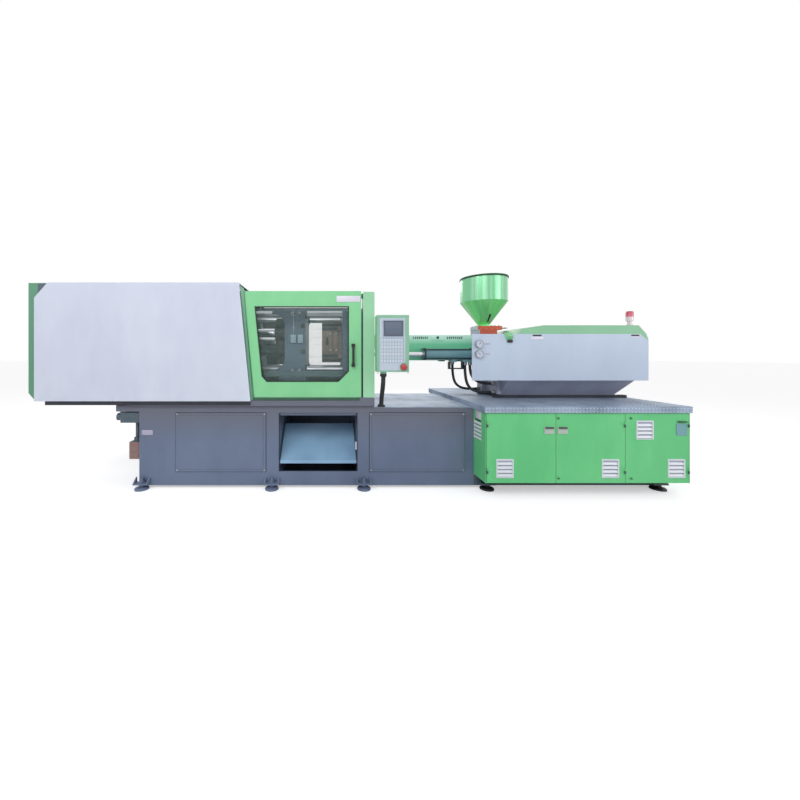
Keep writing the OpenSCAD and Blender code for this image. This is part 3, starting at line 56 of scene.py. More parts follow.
# %% [markdown]
# The photograph was taken from close by with a wide lens: the machine is nearly six metres long, and the
# end cover, the middle and the cabinet all stay square to the picture. So the camera looks straight along
# +Y, and the lens shift, not a tilt, brings the machine into the frame. Verticals stay vertical that way.
# %% Camera
lens_x = -0.182
lens_y = -3.664
lens_z = 1.2475
camera_data = bpy.data.cameras.new("camera")
camera_data.sensor_width = 36.0
camera_data.lens = 14.94
camera_data.shift_x = 0.09
camera_data.shift_y = -0.05625
camera_data.clip_start = 0.05
camera = bpy.data.objects.new("camera", camera_data)
camera.location = (lens_x, lens_y, lens_z)
camera.rotation_euler = (radians(90), 0, 0)
scene.collection.objects.link(camera)
scene.camera = camera
print("camera at", tuple(camera.location), "lens", camera_data.lens)

# %% [markdown]
# A colour is easiest to judge as the screen shows it, from 0 to 255, while a shader wants linear light. One
# short function changes the first into the second.
# %% Colours
def tone(red, green, blue):
    """The shader colour that shows as this screen colour."""
    def linear(part):
        part = part / 255
        return part / 12.92 if part <= 0.04045 else ((part + 0.055) / 1.055) ** 2.4
    return (linear(red), linear(green), linear(blue), 1.0)


print("mid grey is", round(tone(128, 128, 128)[0], 3), "in linear light")

# %% [markdown]
# Shader maths reads best as Python. A Wire holds one socket of a material, and using it in an expression
# adds the node that works the expression out: Math for numbers, Vector Math for vectors. Every other node
# comes from one method of Finish, which sets the node's own settings first and its sockets next.
# %% Wires and finishes
OPERATIONS = {"+": "ADD", "-": "SUBTRACT", "*": "MULTIPLY", "%": "MODULO",
              ">": "GREATER_THAN", "<": "LESS_THAN"}
edge_contrast = 4.0


class Wire:
    """One socket of a finish, for use in expressions."""

    def __init__(self, finish, socket):
        self.finish = finish
        self.socket = socket

    def work(self, sign, first, second):
        family = "VectorMath" if self.socket.type == "VECTOR" else "Math"
        return self.finish.node(family, {"operation": OPERATIONS[sign]}, {0: first, 1: second})

    def __add__(self, other):
        return self.work("+", self, other)

    def __radd__(self, other):
        return self.work("+", other, self)

    def __sub__(self, other):
        return self.work("-", self, other)

    def __rsub__(self, other):
        return self.work("-", other, self)

    def __mul__(self, other):
        return self.work("*", self, other)

    def __mod__(self, other):
        return self.work("%", self, other)

    def __gt__(self, other):
        return self.work(">", self, other)

    def __lt__(self, other):
        return self.work("<", self, other)

    def __abs__(self):
        return self.finish.node("Math", {"operation": "ABSOLUTE"}, {0: self})

    def floor(self):
        return self.finish.node("Math", {"operation": "FLOOR"}, {0: self})

    def clamped(self):
        return self.finish.node("Clamp", {}, {0: self})

    def steep(self, low, contrast):
        """How far the value is over a low one, times the contrast, kept from 0 to 1."""
        return ((self - low) * contrast).clamped()

    def rising(self, low, high):
        """0 up to the low value, 1 from the high one on, and even between them."""
        return ((self - low) * (1 / (high - low))).clamped()

    def between(self, low, high):
        """1 where the value lies between the two, and 0 elsewhere."""
        return (self > low) * (self < high)


class Finish:
    """A material, and the one method that adds a node to it."""

    def __init__(self, name):
        self.material = bpy.data.materials.new(name)
        self.material.use_nodes = True
        self.tree = self.material.node_tree
        self.shader = self.tree.nodes["Principled BSDF"]

    def node(self, kind, settings=None, sockets=None, output=0):
        made = self.tree.nodes.new("ShaderNode" + kind)
        for key, value in (settings or {}).items():
            setattr(made, key, value)
        for key, value in (sockets or {}).items():
            self.feed(made.inputs[key], value)
        return Wire(self, made.outputs[output])

    def feed(self, socket, value):
        if isinstance(value, Wire):
            self.tree.links.new(value.socket, socket)
        else:
            socket.default_value = value

    def wear(self, **sockets):
        """Feeds sockets of the surface shader; an underscore stands for a space."""
        for key, value in sockets.items():
            self.feed(self.shader.inputs[key.replace("_", " ")], value)
        return self.material

    def repaint(self, amount, colour):
        """Lays a second paint over the finish where the amount is one."""
        first = Wire(self, self.shader.inputs["Base Color"].links[0].from_socket)
        self.wear(Base_Color=self.mix(amount, first, colour))

    def place(self):
        """The point of the surface in the machine's own frame, in metres."""
        return self.node("TexCoord", output="Object")

    def axes(self):
        point = self.place()
        return [self.node("SeparateXYZ", {}, {0: point}, i) for i in range(3)]

    def noise(self, point, scale, detail=2.0, rough=0.5):
        sockets = {"Vector": point, "Scale": scale, "Detail": detail, "Roughness": rough}
        return self.node("TexNoise", {"noise_dimensions": "3D"}, sockets, "Fac")

    def stretched(self, x, y, z):
        """The surface point with each axis scaled, for grain that runs one way."""
        return self.place() * (x, y, z)

    def mix(self, factor, first, second):
        settings = {"data_type": "RGBA", "blend_type": "MIX"}
        return self.node("Mix", settings, {0: factor, 6: first, 7: second}, 2)

    def soft_edge(self, radius):
        """The normal as if every sharp edge were rounded by this radius."""
        return self.node("Bevel", {"samples": 3}, {"Radius": radius})

    def edge_mask(self, rounded):
        """1 along the edges, 0 on the flats: where the rounded normal leaves the true one."""
        true = self.node("NewGeometry", output="True Normal")
        along = self.node("VectorMath", {"operation": "DOT_PRODUCT"}, {0: rounded, 1: true}, "Value")
        return ((1 - along) * edge_contrast).clamped()

    def bump(self, height, distance, normal=None):
        sockets = {"Height": height, "Distance": distance, "Strength": 1.0}
        if normal is not None:
            sockets["Normal"] = normal
        return self.node("Bump", {}, sockets)


print("signs a wire understands:", " ".join(OPERATIONS))

# %% [markdown]
# Flexible lines come first, because their length is a fact and the rest has to leave them room. The conduit
# of the control box is corrugated plastic: a tube whose radius swells and narrows along its way. A curve
# with a round bevel could only be smooth, so the tube is built ring by ring along the route. The hoses are
# smooth rubber with a crimped steel ferrule at each end, and the same rings make them.
# %% Rings along a route
def smooth_route(points, spacing):
    """Points along a smooth line through the given ones, about one spacing apart."""
    knots = [Vector(p) for p in points]
    ends = [2 * knots[0] - knots[1]] + knots + [2 * knots[-1] - knots[-2]]
    line = []
    for a, b, c, d in zip(ends, ends[1:], ends[2:], ends[3:]):
        steps = max(1, round((c - b).length / spacing))
        for i in range(steps):
            t = i / steps
            bend = (2 * b) + (c - a) * t + (2 * a - 5 * b + 4 * c - d) * t ** 2
            line.append((bend + (3 * b - a - 3 * c + d) * t ** 3) / 2)
    line.append(knots[-1])
    return line


def run_length(line):
    return sum((b - a).length for a, b in zip(line, line[1:]))


def tube_mesh(name, line, radius_at, side, around=20):
    """A closed tube round a line; radius_at gives its radius for a distance along it."""
    mesh = bmesh.new()
    rings = []
    gone = 0.0
    for i, point in enumerate(line):
        before = line[max(i - 1, 0)]
        after = line[min(i + 1, len(line) - 1)]
        gone += (point - before).length
        ahead = (after - before).normalized()
        across = ahead.cross(side).normalized()
        up = across.cross(ahead)
        radius = radius_at(gone)
        angles = [2 * pi * k / around for k in range(around)]
        rings.append([mesh.verts.new(point + radius * (cos(t) * across + sin(t) * up)) for t in angles])
    for low, high in zip(rings, rings[1:]):
        for k in range(around):
            mesh.faces.new((low[k], low[(k + 1) % around], high[(k + 1) % around], high[k]))
    mesh.faces.new(list(reversed(rings[0])))
    mesh.faces.new(rings[-1])
    bmesh.ops.recalc_face_normals(mesh, faces=mesh.faces)
    data = bpy.data.meshes.new(name)
    mesh.to_mesh(data)
    mesh.free()
    data.shade_smooth()
    made = bpy.data.objects.new(name, data)
    scene.collection.objects.link(made)
    return made


# %% Routes, as in the construction, in metres
conduit_route = [
    (0.322, -0.640, 1.076), (0.322, -0.640, 1.054), (0.322, -0.637, 1.028), (0.322, -0.629, 0.996),
    (0.322, -0.615, 0.962), (0.322, -0.597, 0.930), (0.322, -0.576, 0.898), (0.322, -0.556, 0.866),
    (0.322, -0.540, 0.834), (0.322, -0.529, 0.804), (0.322, -0.524, 0.782), (0.322, -0.524, 0.7603),
]
low_route = [
    (1.256, -0.176, 1.174), (1.256, -0.176, 1.120), (1.258, -0.176, 1.070), (1.263, -0.176, 1.020),
    (1.272, -0.176, 0.974), (1.288, -0.176, 0.932), (1.316, -0.176, 0.898), (1.358, -0.176, 0.874),
    (1.410, -0.176, 0.862), (1.470, -0.176, 0.858), (1.520, -0.176, 0.860), (1.567, -0.176, 0.860),
]
high_route = [
    (1.308, -0.176, 1.174), (1.308, -0.176, 1.134), (1.312, -0.176, 1.088), (1.324, -0.176, 1.042),
    (1.350, -0.176, 1.000), (1.392, -0.176, 0.970), (1.444, -0.176, 0.954), (1.504, -0.176, 0.948),
    (1.567, -0.176, 0.948),
]
rear_route = [(x, -y, z) for x, y, z in low_route]
conduit_diameter = 0.042
hose_diameter = 0.028
rib_pitch = 0.0105
rib_depth = 0.0022
hose_spacing = 0.012

# %% Conduit and hoses
def ribbed(gone):
    """A rib at every pitch along the conduit."""
    return conduit_diameter / 2 - rib_depth * (0.5 + 0.5 * cos(2 * pi * gone / rib_pitch))


def plain_hose(gone):
    """As thick at its end as at its start."""
    return hose_diameter / 2


def flexible(name, route, radius_at, spacing, side, body, node):
    line = smooth_route(route, spacing)
    made = tube_mesh(name, line, radius_at, Vector(side))
    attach(made, body)
    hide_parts(node)
    run_length(line)
    print(name, "is", round(run_length(line), 3), "m long")
    return made


conduit = flexible("corrugated_conduit", conduit_route, ribbed, rib_pitch / 5,
                   (1, 0, 0), "root", "panel_conduit")
hoses = [flexible(name, route, plain_hose, hose_spacing,
                  (0, 1, 0), "injection_unit", node)
         for name, route, node in (("hose_low_line", low_route, "hose_front_low"),
                                   ("hose_high_line", high_route, "hose_front_high"),
                                   ("hose_back_line", rear_route, "hose_rear"))]

# %% [markdown]
# Painted sheet metal is never one flat colour. Powder paint has a fine orange peel that breaks up its
# gloss, big panels drift a little in tone, and edges are paler: partly wear where hands and cloths rub them,
# partly a painted highlight along each edge. A plain Principled shader could carry the colour alone, but the
# panels here are metres long and would look like card, so the tone drifts with a broad noise, a fine one
# feeds the bump, and a Bevel node rounds the sharp sheet edges.
# %% Painted sheet
edge_radius = 0.004
peel_scale = 260.0
peel_depth = 0.00025


def sheet_paint(name, light, dark, gloss=0.36, coat=0.3, edge=None, drift=0.9):
    """Powder paint: it drifts from light to dark; its edges pale with wear and a painted highlight."""
    finish = Finish(name)
    point = finish.place()
    broad = finish.noise(point, drift, 2.0)
    cloud = finish.noise(finish.stretched(6, 6, 2.5), 1.0, 3.0)
    shade = (broad * 0.65 + cloud * 0.35).steep(0.36, 3.4)
    rounded = finish.soft_edge(edge_radius)
    wear_and_highlight = finish.edge_mask(rounded)
    base = finish.mix(shade, light, dark)
    # painted highlight: the edges are laid paler, which also stands for wear
    if edge is not None:
        base = finish.mix(wear_and_highlight * 0.5, base, edge)
    peel = finish.noise(point, peel_scale, 1.0)
    finish.wear(Base_Color=base, Roughness=gloss + cloud * 0.1 - wear_and_highlight * 0.06, Coat_Weight=coat,
                Coat_Roughness=0.14, Normal=finish.bump(peel, peel_depth, rounded))
    return finish


green_edge = tone(180, 228, 190)
inner_shade_y = 0.5815
inner_shade_foot = 0.80
inner_shade_end = 0.2
facing_in = -0.3


def shade_inner_faces(finish):
    """Darkens the faces of gates and casing that look into the clamp with painted shade."""
    x, y, z = finish.axes()
    facing = finish.node("SeparateXYZ", {}, {0: finish.node("TexCoord", output="Normal")}, 1)
    inside = (abs(y) < inner_shade_y) * ((y * facing) < facing_in) * (z > inner_shade_foot) * (x < inner_shade_end)
    # painted shade: the faces inside the clamp are painted dark grey-green
    finish.repaint(inside, tone(46, 54, 54))
    return finish


gate_green = shade_inner_faces(sheet_paint("gate_green_paint", tone(136, 212, 154), tone(116, 200, 140), edge=green_edge))
casing_green = sheet_paint("casing_green_paint", tone(92, 150, 120), tone(84, 140, 110), edge=green_edge)
guard_green = sheet_paint("guard_green_paint", tone(120, 214, 170), tone(104, 198, 154), edge=green_edge)
casing_white = shade_inner_faces(sheet_paint("casing_white_paint", tone(210, 217, 232), tone(198, 204, 222), 0.4, 0.25,
                                 tone(230, 235, 243), 0.7))
cover_white = sheet_paint("cover_white_paint", tone(192, 206, 226), tone(182, 196, 216), 0.4, 0.25,
                          tone(226, 232, 242))
top_green = sheet_paint("top_green_paint", tone(138, 194, 156), tone(124, 180, 142), edge=green_edge)
column_green = sheet_paint("column_green_paint", tone(156, 214, 172), tone(142, 202, 158), edge=green_edge)
reservoir_brown = sheet_paint("reservoir_brown", tone(150, 122, 116), tone(122, 94, 90), 0.5, 0.1)
frame_paint = sheet_paint("frame_paint", tone(88, 104, 116), tone(68, 82, 92), 0.45, 0.1)
chute_paint = sheet_paint("chute_paint", tone(150, 190, 222), tone(126, 164, 198), 0.4, 0.2)
carriage_grey = sheet_paint("carriage_grey_paint", tone(166, 168, 186), tone(138, 140, 158), 0.42, 0.15)
cast_blue = sheet_paint("cast_blue_paint", tone(92, 114, 134), tone(66, 86, 104), 0.5, 0.1)
cylinder_blue = sheet_paint("cylinder_blue_grey", tone(116, 162, 170), tone(90, 134, 144), 0.3, 0.3)
pump_blue = sheet_paint("pump_blue_paint", tone(80, 102, 132), tone(62, 80, 110), 0.4, 0.2)
red_paint = sheet_paint("red_paint", tone(214, 92, 50), tone(180, 66, 38), 0.42, 0.2, tone(235, 150, 110))
gear_white = sheet_paint("switch_gear_white", tone(212, 214, 214), tone(190, 193, 196), 0.5, 0.1)
control_rim = sheet_paint("control_rim_paint", tone(140, 192, 162), tone(126, 178, 148), 0.4, 0.2,
                          tone(205, 232, 212))
print("painted finishes:", len(bpy.data.materials))

# %% [markdown]
# The base carries painted light, the way the room lights a long grey wall: brownish grey under the flange,
# bluer towards the floor. That painted light is a change of tone with height, so the height itself decides
# how much of a second tone is laid over the sheet paint. The barrel guard is painted paler towards its top in
# the same way.
# %% Base paint
base_finish = sheet_paint("base_blue_grey_paint", tone(106, 121, 147), tone(92, 106, 132), 0.42, 0.15,
                          tone(140, 152, 172))


def painted_light_with_height(finish, bottom, top, colour, share):
    """Paints light into a finish: tints it towards a colour between two heights."""
    finish.repaint(finish.axes()[2].rising(bottom, top) * share, colour)


grey_from, grey_to = 0.42, 0.72
# painted light: the base turns greyer towards its top and stays bluer towards the floor
painted_light_with_height(base_finish, grey_from, grey_to, tone(100, 100, 110), 0.75)
guard_low, guard_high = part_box("barrel_guard")
# painted light: the barrel guard is paler near its top
painted_light_with_height(guard_green, guard_high.z - 0.100, guard_high.z - 0.020, tone(196, 238, 222), 0.9)
print("base paint turns greyer above", grey_from, "m")

# %% [markdown]
# Some castings and weldments are one solid in the construction but carry two paints, or paint and painted
# shade. The feet under the cabinet are painted near black, painted shade under the cabinet's overhang; the
# bed inside the gates is painted dark, the shade under the casing; the cheeks of the chute are painted dark
# as shade; the posts of the chute match the base, the jar under the lubricator is brown, and the feed block
# is red above the cover. Comparisons on the surface point find them.
# %% Second paints
pump_paint = sheet_paint("lubricator_paint", tone(88, 104, 116), tone(68, 82, 92), 0.45, 0.1)
feed_cast = sheet_paint("feed_block_paint", tone(92, 114, 134), tone(66, 86, 104), 0.5, 0.1)
door_left_low, door_left_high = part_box("door_left")
chute_low, chute_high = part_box("chute_plate")
cover_low, cover_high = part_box("injection_cover")
slide_low, slide_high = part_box("hopper_base")
feet_top = 0.12
bed_half = 0.545
bed_top = 0.765
bed_end = 0.12
post_foot = 0.285
post_depth = 0.040
cheek = 0.012
jar_top = 0.428

x, y, z = base_finish.axes()
# painted shade: the base under the cabinet is near black below the top of the feet
base_finish.repaint((x > door_left_low.x - 0.010) * (z < feet_top), tone(28, 34, 34))
# painted shade: the top of the base inside the gates, under the casing, is dark teal
base_finish.repaint((abs(y) < bed_half) * (z > bed_top) * (x < bed_end), tone(62, 88, 94))
x, y, z = chute_paint.axes()
chute_paint.repaint((y < chute_low.y + post_depth) * (z > post_foot), tone(98, 110, 134))
# painted shade: the side cheeks of the chute are painted dark
chute_paint.repaint((x < chute_low.x + cheek) + (x > chute_high.x - cheek), tone(58, 70, 86))
pump_paint.repaint(pump_paint.axes()[2] < jar_top, tone(140, 112, 106))
red_paint.repaint(red_paint.axes()[0] < slide_low.x + 0.0015, tone(176, 184, 190))
x, y, z = feed_cast.axes()
feed_cast.repaint(z > cover_high.z - 0.004, tone(198, 88, 66))
feed_cast.repaint(x < slide_low.x + 0.020, tone(168, 176, 188))
print("finishes with a second paint: base, chute, lubricator, slide and feed block")

# %% [markdown]
# Doors and vents are one pressed assembly in the construction, so the white louvres, the grey latch plates
# and the blue-grey plate share a mesh with their green door. A mask picks them out: a point belongs to the
# vent when it lies inside the vent's frame. The masks are sums of comparisons on the surface point, in
# metres.
# %% Cabinet green, with white vents and grey latch plates
door_middle_low, door_middle_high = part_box("door_middle")
door_right_low, door_right_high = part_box("door_right")
panel_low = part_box("cabinet_panels")[0]
vent_rim = 0.0105
vent_w = 0.128
vent_h = 0.142
vent_up = 0.056
vents = [
    (door_left_low.x + 0.093, door_left_low.z + vent_up),
    (door_middle_high.x - 0.193, door_middle_low.z + vent_up),
    (door_right_low.x + 0.102, door_right_low.z + 0.390),
    (door_right_high.x - 0.174, door_right_low.z + vent_up),
]
latch_low = door_left_low.z + 0.427
latches = [(door_left_high.x - 0.101, 0.086), (door_middle_low.x + 0.012, 0.086)]
plate_x = door_right_high.x - 0.112
plate_z = door_right_low.z + 0.412
plate_w = 0.092
plate_h = 0.103
latch_h = 0.060
margin = 0.001
vent_front = -0.7660
plate_front = -0.7862
side_vent = (-0.705, -0.555, 0.480, 0.660)


def patch(across, height, x0, x1, z0, z1):
    return across.between(x0, x1) * height.between(z0, z1)


cabinet_finish = sheet_paint("cabinet_green_paint", tone(112, 212, 140), tone(92, 196, 124), edge=green_edge)
x, y, z = cabinet_finish.axes()
in_front = y < vent_front
proud = y < plate_front
white_part = patch(y, z, *side_vent) * (x < panel_low.x + 0.006)
for vent_x, vent_z in vents:
    white_part = white_part + patch(x, z, vent_x - vent_rim, vent_x + vent_w + vent_rim,
                                    vent_z - vent_rim, vent_z + vent_h + vent_rim) * in_front
grey_part = 0
for latch_x, latch_w in latches:
    grey_part = grey_part + patch(x, z, latch_x - margin, latch_x + latch_w + margin,
                                  latch_low - margin, latch_low + latch_h + margin) * proud
blue_part = patch(x, z, plate_x - margin, plate_x + plate_w + margin,
                  plate_z - margin, plate_z + plate_h + margin) * proud
cabinet_finish.repaint(white_part.clamped(), tone(222, 228, 236))
cabinet_finish.repaint(grey_part.clamped(), tone(176, 190, 180))
cabinet_finish.repaint(blue_part, tone(112, 160, 168))
print("vents masked:", len(vents) + 1, "latches masked:", len(latches))

# %% [markdown]
# The decks are chequer plate: steel rolled with short raised bars, each row turned across the last, so that
# a boot grips both ways. Modelling thousands of bars would weigh more than the machine. The bars are bump:
# the surface is divided in square cells, every second cell turns its bar by a quarter, and the height is an
# oval hill. Feet polish the bars, so their tops are brighter and smoother than the valleys.
# %% Chequer plate
tread_cell = 0.030
bar_length = 0.58
bar_width = 0.17
tread_height = 0.0022
diagonal = 1.414


def bar_hill(lengthways, crossways):
    """The height of one bar, from 0 to 1, an oval hill."""
    far = lengthways * (1 / (bar_length * diagonal))
    wide = crossways * (1 / (bar_width * diagonal))
    return (1 - far * far * 4 - wide * wide * 4).clamped()


deck_finish = Finish("chequer_plate")
x, y, z = deck_finish.axes()
along = x * (1 / tread_cell)
across = (y + z) * (1 / tread_cell)
cell_x = along.floor()
cell_y = across.floor()
a = along - cell_x - 0.5
b = across - cell_y - 0.5
turned = abs(cell_x + cell_y) % 2.0
tread = turned * bar_hill(a - b, a + b) + (1 - turned) * bar_hill(a + b, a - b)
top = (tread * 3.0).clamped()
scuffs = deck_finish.noise(deck_finish.place(), 3.5, 5.0, 0.62)
grime = scuffs.steep(0.42, 3.2)
valley = deck_finish.mix(grime, tone(158, 174, 196), tone(108, 124, 146))
deck_finish.wear(Base_Color=deck_finish.mix(top * 0.85, valley, tone(236, 240, 246)), Metallic=0.35,
                 Roughness=0.46 - top * 0.16 + grime * 0.1,
                 Normal=deck_finish.bump(tread, tread_height, deck_finish.soft_edge(0.003)))
print("tread cell", tread_cell, "m")

# %% [markdown]
# Machined and bare metals share one recipe. Each is a tone, a gloss, and a grain that runs along the tool's
# way: along the bars on a ground rod, all ways on a casting. The grain is noise squeezed along one axis.
# Chrome on the tie bars and traverse rods keeps almost no grain, steel blocks keep much, and oil darkens
# them in drifts.
# %% Metals
oil_scale = 2.2


def metal(name, light, dark, gloss, grain, depth, metallic=0.9):
    """Bare metal: grain is how the surface point is scaled before the noise."""
    finish = Finish(name)
    lines = finish.noise(finish.stretched(*grain), 1.0, 2.0)
    oil = finish.noise(finish.place(), oil_scale, 4.0, 0.6)
    stain = oil.steep(0.45, 3.0)
    finish.wear(Base_Color=finish.mix(stain, light, dark), Metallic=metallic,
                Roughness=gloss + lines * 0.12 + stain * 0.08,
                Normal=finish.bump(lines, depth, finish.soft_edge(0.0015)))
    return finish


chrome_rod = metal("chrome_rod", tone(226, 229, 232), tone(196, 200, 206), 0.07, (8, 500, 500), 0.00004, 1.0)
machine_steel = metal("machined_steel", tone(176, 180, 186), tone(140, 144, 150), 0.26,
                      (40, 700, 700), 0.0001)
dark_steel = metal("dark_steel", tone(54, 58, 62), tone(32, 35, 38), 0.38, (220, 220, 220), 0.0003, 0.6)
mould_steel = metal("mould_steel", tone(128, 112, 102), tone(98, 84, 78), 0.34, (300, 60, 300), 0.0002, 0.6)
print("metals:", ", ".join(f.material.name for f in (chrome_rod, machine_steel, dark_steel, mould_steel)))

# %% [markdown]
# The hopper is rolled from thin sheet and painted gloss green over polished metal, which is why the
# photograph shows it striped with upright highlights. Those highlights are painted into its colour as pale
# upright stripes, painted reflections whose tone is noise stretched along Z, so that it changes round the
# drum but hardly down it; the cone below is plainer and darker. The lid is flat sheet with the paint alone,
# matter than the drum.
# %% Hopper green
hopper_low, hopper_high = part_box("hopper")
drum_h = 0.265
seam_z = hopper_high.z - drum_h
hopper_finish = Finish("hopper_green_gloss")
# painted reflections: pale upright stripes round the drum, fainter on the cone
reflection_bands = hopper_finish.noise(hopper_finish.stretched(11, 11, 0.25), 1.0, 2.0, 0.65)
painted_reflections = reflection_bands.steep(0.47, 5.5)
height = hopper_finish.axes()[2]
drum = height > seam_z
drum_green = hopper_finish.mix(painted_reflections, tone(122, 204, 150), tone(186, 238, 204))
cone_green = hopper_finish.mix(painted_reflections * 0.35, tone(126, 222, 134), tone(156, 236, 164))
brushed = hopper_finish.noise(hopper_finish.stretched(300, 300, 12), 1.0, 1.0)
sides = hopper_finish.mix(drum, cone_green, drum_green)
lid = height > hopper_high.z + 0.0005
hopper_finish.wear(Base_Color=hopper_finish.mix(lid, sides, tone(112, 190, 136)),
                   Metallic=0.35 - lid * 0.35, Roughness=0.2 + brushed * 0.08 + lid * 0.3,
                   Coat_Weight=0.6 - lid * 0.5, Coat_Roughness=0.06,
                   Normal=hopper_finish.bump(brushed, 0.0001, hopper_finish.soft_edge(0.002)))
print("cone ends at", round(seam_z, 3), "m")

# %% [markdown]
# Plastics and rubber: the black of the handle, conduit and stop collar, the dark rubber of hoses and seals,
# the mats behind the vents, the blank plates. They differ in tone and in how fine their moulded grain is.
# %% Plastics and rubber
def moulded(name, light, dark, gloss, grain=900.0, depth=0.00012, coat=0.0):
    """Moulded plastic or rubber with an even grain."""
    finish = Finish(name)
    point = finish.place()
    fine = finish.noise(point, grain, 1.0)
    dust = finish.noise(point, 9.0, 4.0, 0.6)
    finish.wear(Base_Color=finish.mix(dust.steep(0.4, 2.4), light, dark), Coat_Weight=coat,
                Roughness=gloss + dust * 0.15, Normal=finish.bump(fine, depth, finish.soft_edge(0.0012)))
    return finish


black_plastic = moulded("black_plastic", tone(34, 36, 38), tone(22, 23, 25), 0.34)
hose_rubber = moulded("hose_rubber", tone(44, 46, 50), tone(28, 29, 32), 0.5)
seal_rubber = moulded("seal_rubber", tone(30, 52, 40), tone(20, 36, 28), 0.55)
red_plastic = moulded("stop_red_plastic", tone(190, 58, 58), tone(166, 44, 46), 0.22, 700.0, 0.00006, 0.4)
# dark seal paint for the gaskets, also used as painted shade on the casing sill
seal_and_shade_dark = moulded("seal_and_shade_dark", tone(46, 48, 58), tone(34, 36, 46), 0.6)
track_green = moulded("track_green", tone(44, 92, 66), tone(34, 74, 52), 0.5)
lock_green = moulded("lock_green", tone(58, 130, 84), tone(44, 106, 68), 0.4)
# dark grey of the tray under the chute, which is painted shade
shade_tray_grey = moulded("shade_tray_grey", tone(84, 84, 98), tone(62, 62, 76), 0.6)
filter_mat = moulded("filter_mat", tone(186, 186, 204), tone(170, 168, 190), 0.8, 1200.0, 0.0003)
dial_grey = moulded("dial_lavender", tone(198, 205, 222), tone(186, 194, 212), 0.3)
bezel_grey = moulded("bezel_grey", tone(160, 176, 192), tone(140, 156, 174), 0.4)
plate_white = moulded("blank_plate_white", tone(226, 222, 236), tone(208, 206, 222), 0.3, 500.0, 0.00005, 0.3)
plate_grey = moulded("blank_plate_grey", tone(178, 176, 196), tone(160, 158, 178), 0.35, 500.0, 0.00005, 0.2)
print("plastics:", len(bpy.data.materials))

# %% [markdown]
# The panes are clear polycarbonate. Real refraction through a thick slab would darken everything behind it,
# so the pane is mostly transparent by Alpha with a glossy surface, and faint wiping marks thicken it a
# little. The alarm lamp is a fluted red lens over a pale pink collar that takes the lower part of its
# height. The screen is dark glass with a darker rim.
# %% Panes, lens and screen
pane = Finish("clear_pane")
wipes = pane.noise(pane.stretched(3, 3, 26), 1.0, 4.0, 0.6)
pane.shader.inputs["Specular IOR Level"].default_value = 0.25
pane.wear(Base_Color=tone(150, 172, 168), Roughness=0.05 + wipes * 0.06,
          Alpha=0.10 + wipes.steep(0.5, 0.25))

lamp_low, lamp_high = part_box("alarm_lamp")
collar_share = 0.60
flute_pitch = 0.012
collar_top = lamp_low.z + collar_share * (lamp_high.z - lamp_low.z)
lens = Finish("lamp_lens_red")
x, y, z = lens.axes()
facet = lens.node("Math", {"operation": "SINE"}, {0: (z - collar_top) * (2 * pi / flute_pitch)})
glow = z.rising(collar_top, lamp_high.z)
red = lens.mix(glow, tone(214, 118, 142), tone(190, 38, 70))
lens.wear(Base_Color=lens.mix(z > collar_top, tone(232, 218, 224), red), Roughness=0.16 + facet * 0.04,
          Coat_Weight=0.7, Emission_Color=lens.mix(z > collar_top, tone(0, 0, 0), tone(120, 14, 32)),
          Emission_Strength=0.35, Normal=lens.bump(facet * (z > collar_top), 0.0006, lens.soft_edge(0.002)))

screen_low, screen_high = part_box("control_screen")
screen = Finish("screen_glass")
x, y, z = screen.axes()
level = z.rising(screen_low.z, screen_high.z)
screen_rim = 0.010
rim = 1 - patch(x, z, screen_low.x + screen_rim, screen_high.x - screen_rim,
                screen_low.z + screen_rim, screen_high.z - screen_rim)
glass = screen.mix(level, tone(74, 90, 110), tone(92, 106, 128))
screen.wear(Base_Color=screen.mix(rim, glass, tone(58, 64, 82)), Roughness=0.12 + rim * 0.2, Coat_Weight=0.8,
            Normal=screen.bump(screen.noise(screen.place(), 300.0, 1.0), 0.00004))
print("lens collar ends at", round(collar_top, 3), "m")

# %% [markdown]
# The face of the control box is one printed film over rows of keys. The keys are real steps in the
# construction, so the film only has to colour them: the rows by height are grey, pale green and white, the
# thin lines between them stay darker. No letters are printed: the film carries plain fields.
# %% Control face
keys_low, keys_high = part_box("control_keys")
field_foot = keys_low.z + 0.066
field_top = screen_low.z - 0.014
row_pitch = 0.033
film = Finish("control_face_film")
x, y, z = film.axes()
raised = y < keys_low.y + 0.0009
field = patch(x, z, keys_low.x + 0.010, keys_high.x - 0.010, field_foot, field_top)
row = ((z - keys_low.z) * (1 / row_pitch)) % 2.0
pale = film.mix(raised, tone(170, 182, 198), tone(204, 213, 226))
tinted = film.mix((row > 1.0) * raised, pale, tone(194, 208, 218))
film.wear(Base_Color=film.mix(field, tone(190, 202, 216), tinted), Roughness=0.3, Coat_Weight=0.3,
          Normal=film.bump(film.noise(film.place(), 600.0, 1.0), 0.00008, film.soft_edge(0.0012)))
print("key field from", round(field_foot, 3), "to", round(field_top, 3), "m")

# %% [markdown]
# Every solid of the construction names its material slot in the record. One table joins those slots to the
# finishes, and a second short one names the solids that wear another paint than the rest of their slot.
# %% Give every solid its finish
FINISHES = {
    "base_paint": base_finish, "frame_paint": frame_paint, "chute_paint": chute_paint,
    "deck_plate": deck_finish, "cabinet_green": cabinet_finish, "gate_green": gate_green,
    "casing_green": casing_green, "casing_white": casing_white, "hopper_green": hopper_finish,
    "machine_steel": machine_steel, "chrome_rod": chrome_rod, "cast_blue": cast_blue,
    "dark_steel": dark_steel, "mould_steel": mould_steel, "pane": pane, "black_plastic": black_plastic,
    "control_rim": control_rim, "control_face": film, "screen_glass": screen, "red_plastic": red_plastic,
    "red_paint": red_paint, "hose_rubber": hose_rubber, "lamp_lens": lens, "carriage_grey": carriage_grey,
    "gear_white": gear_white, "pump_blue": pump_blue,
}


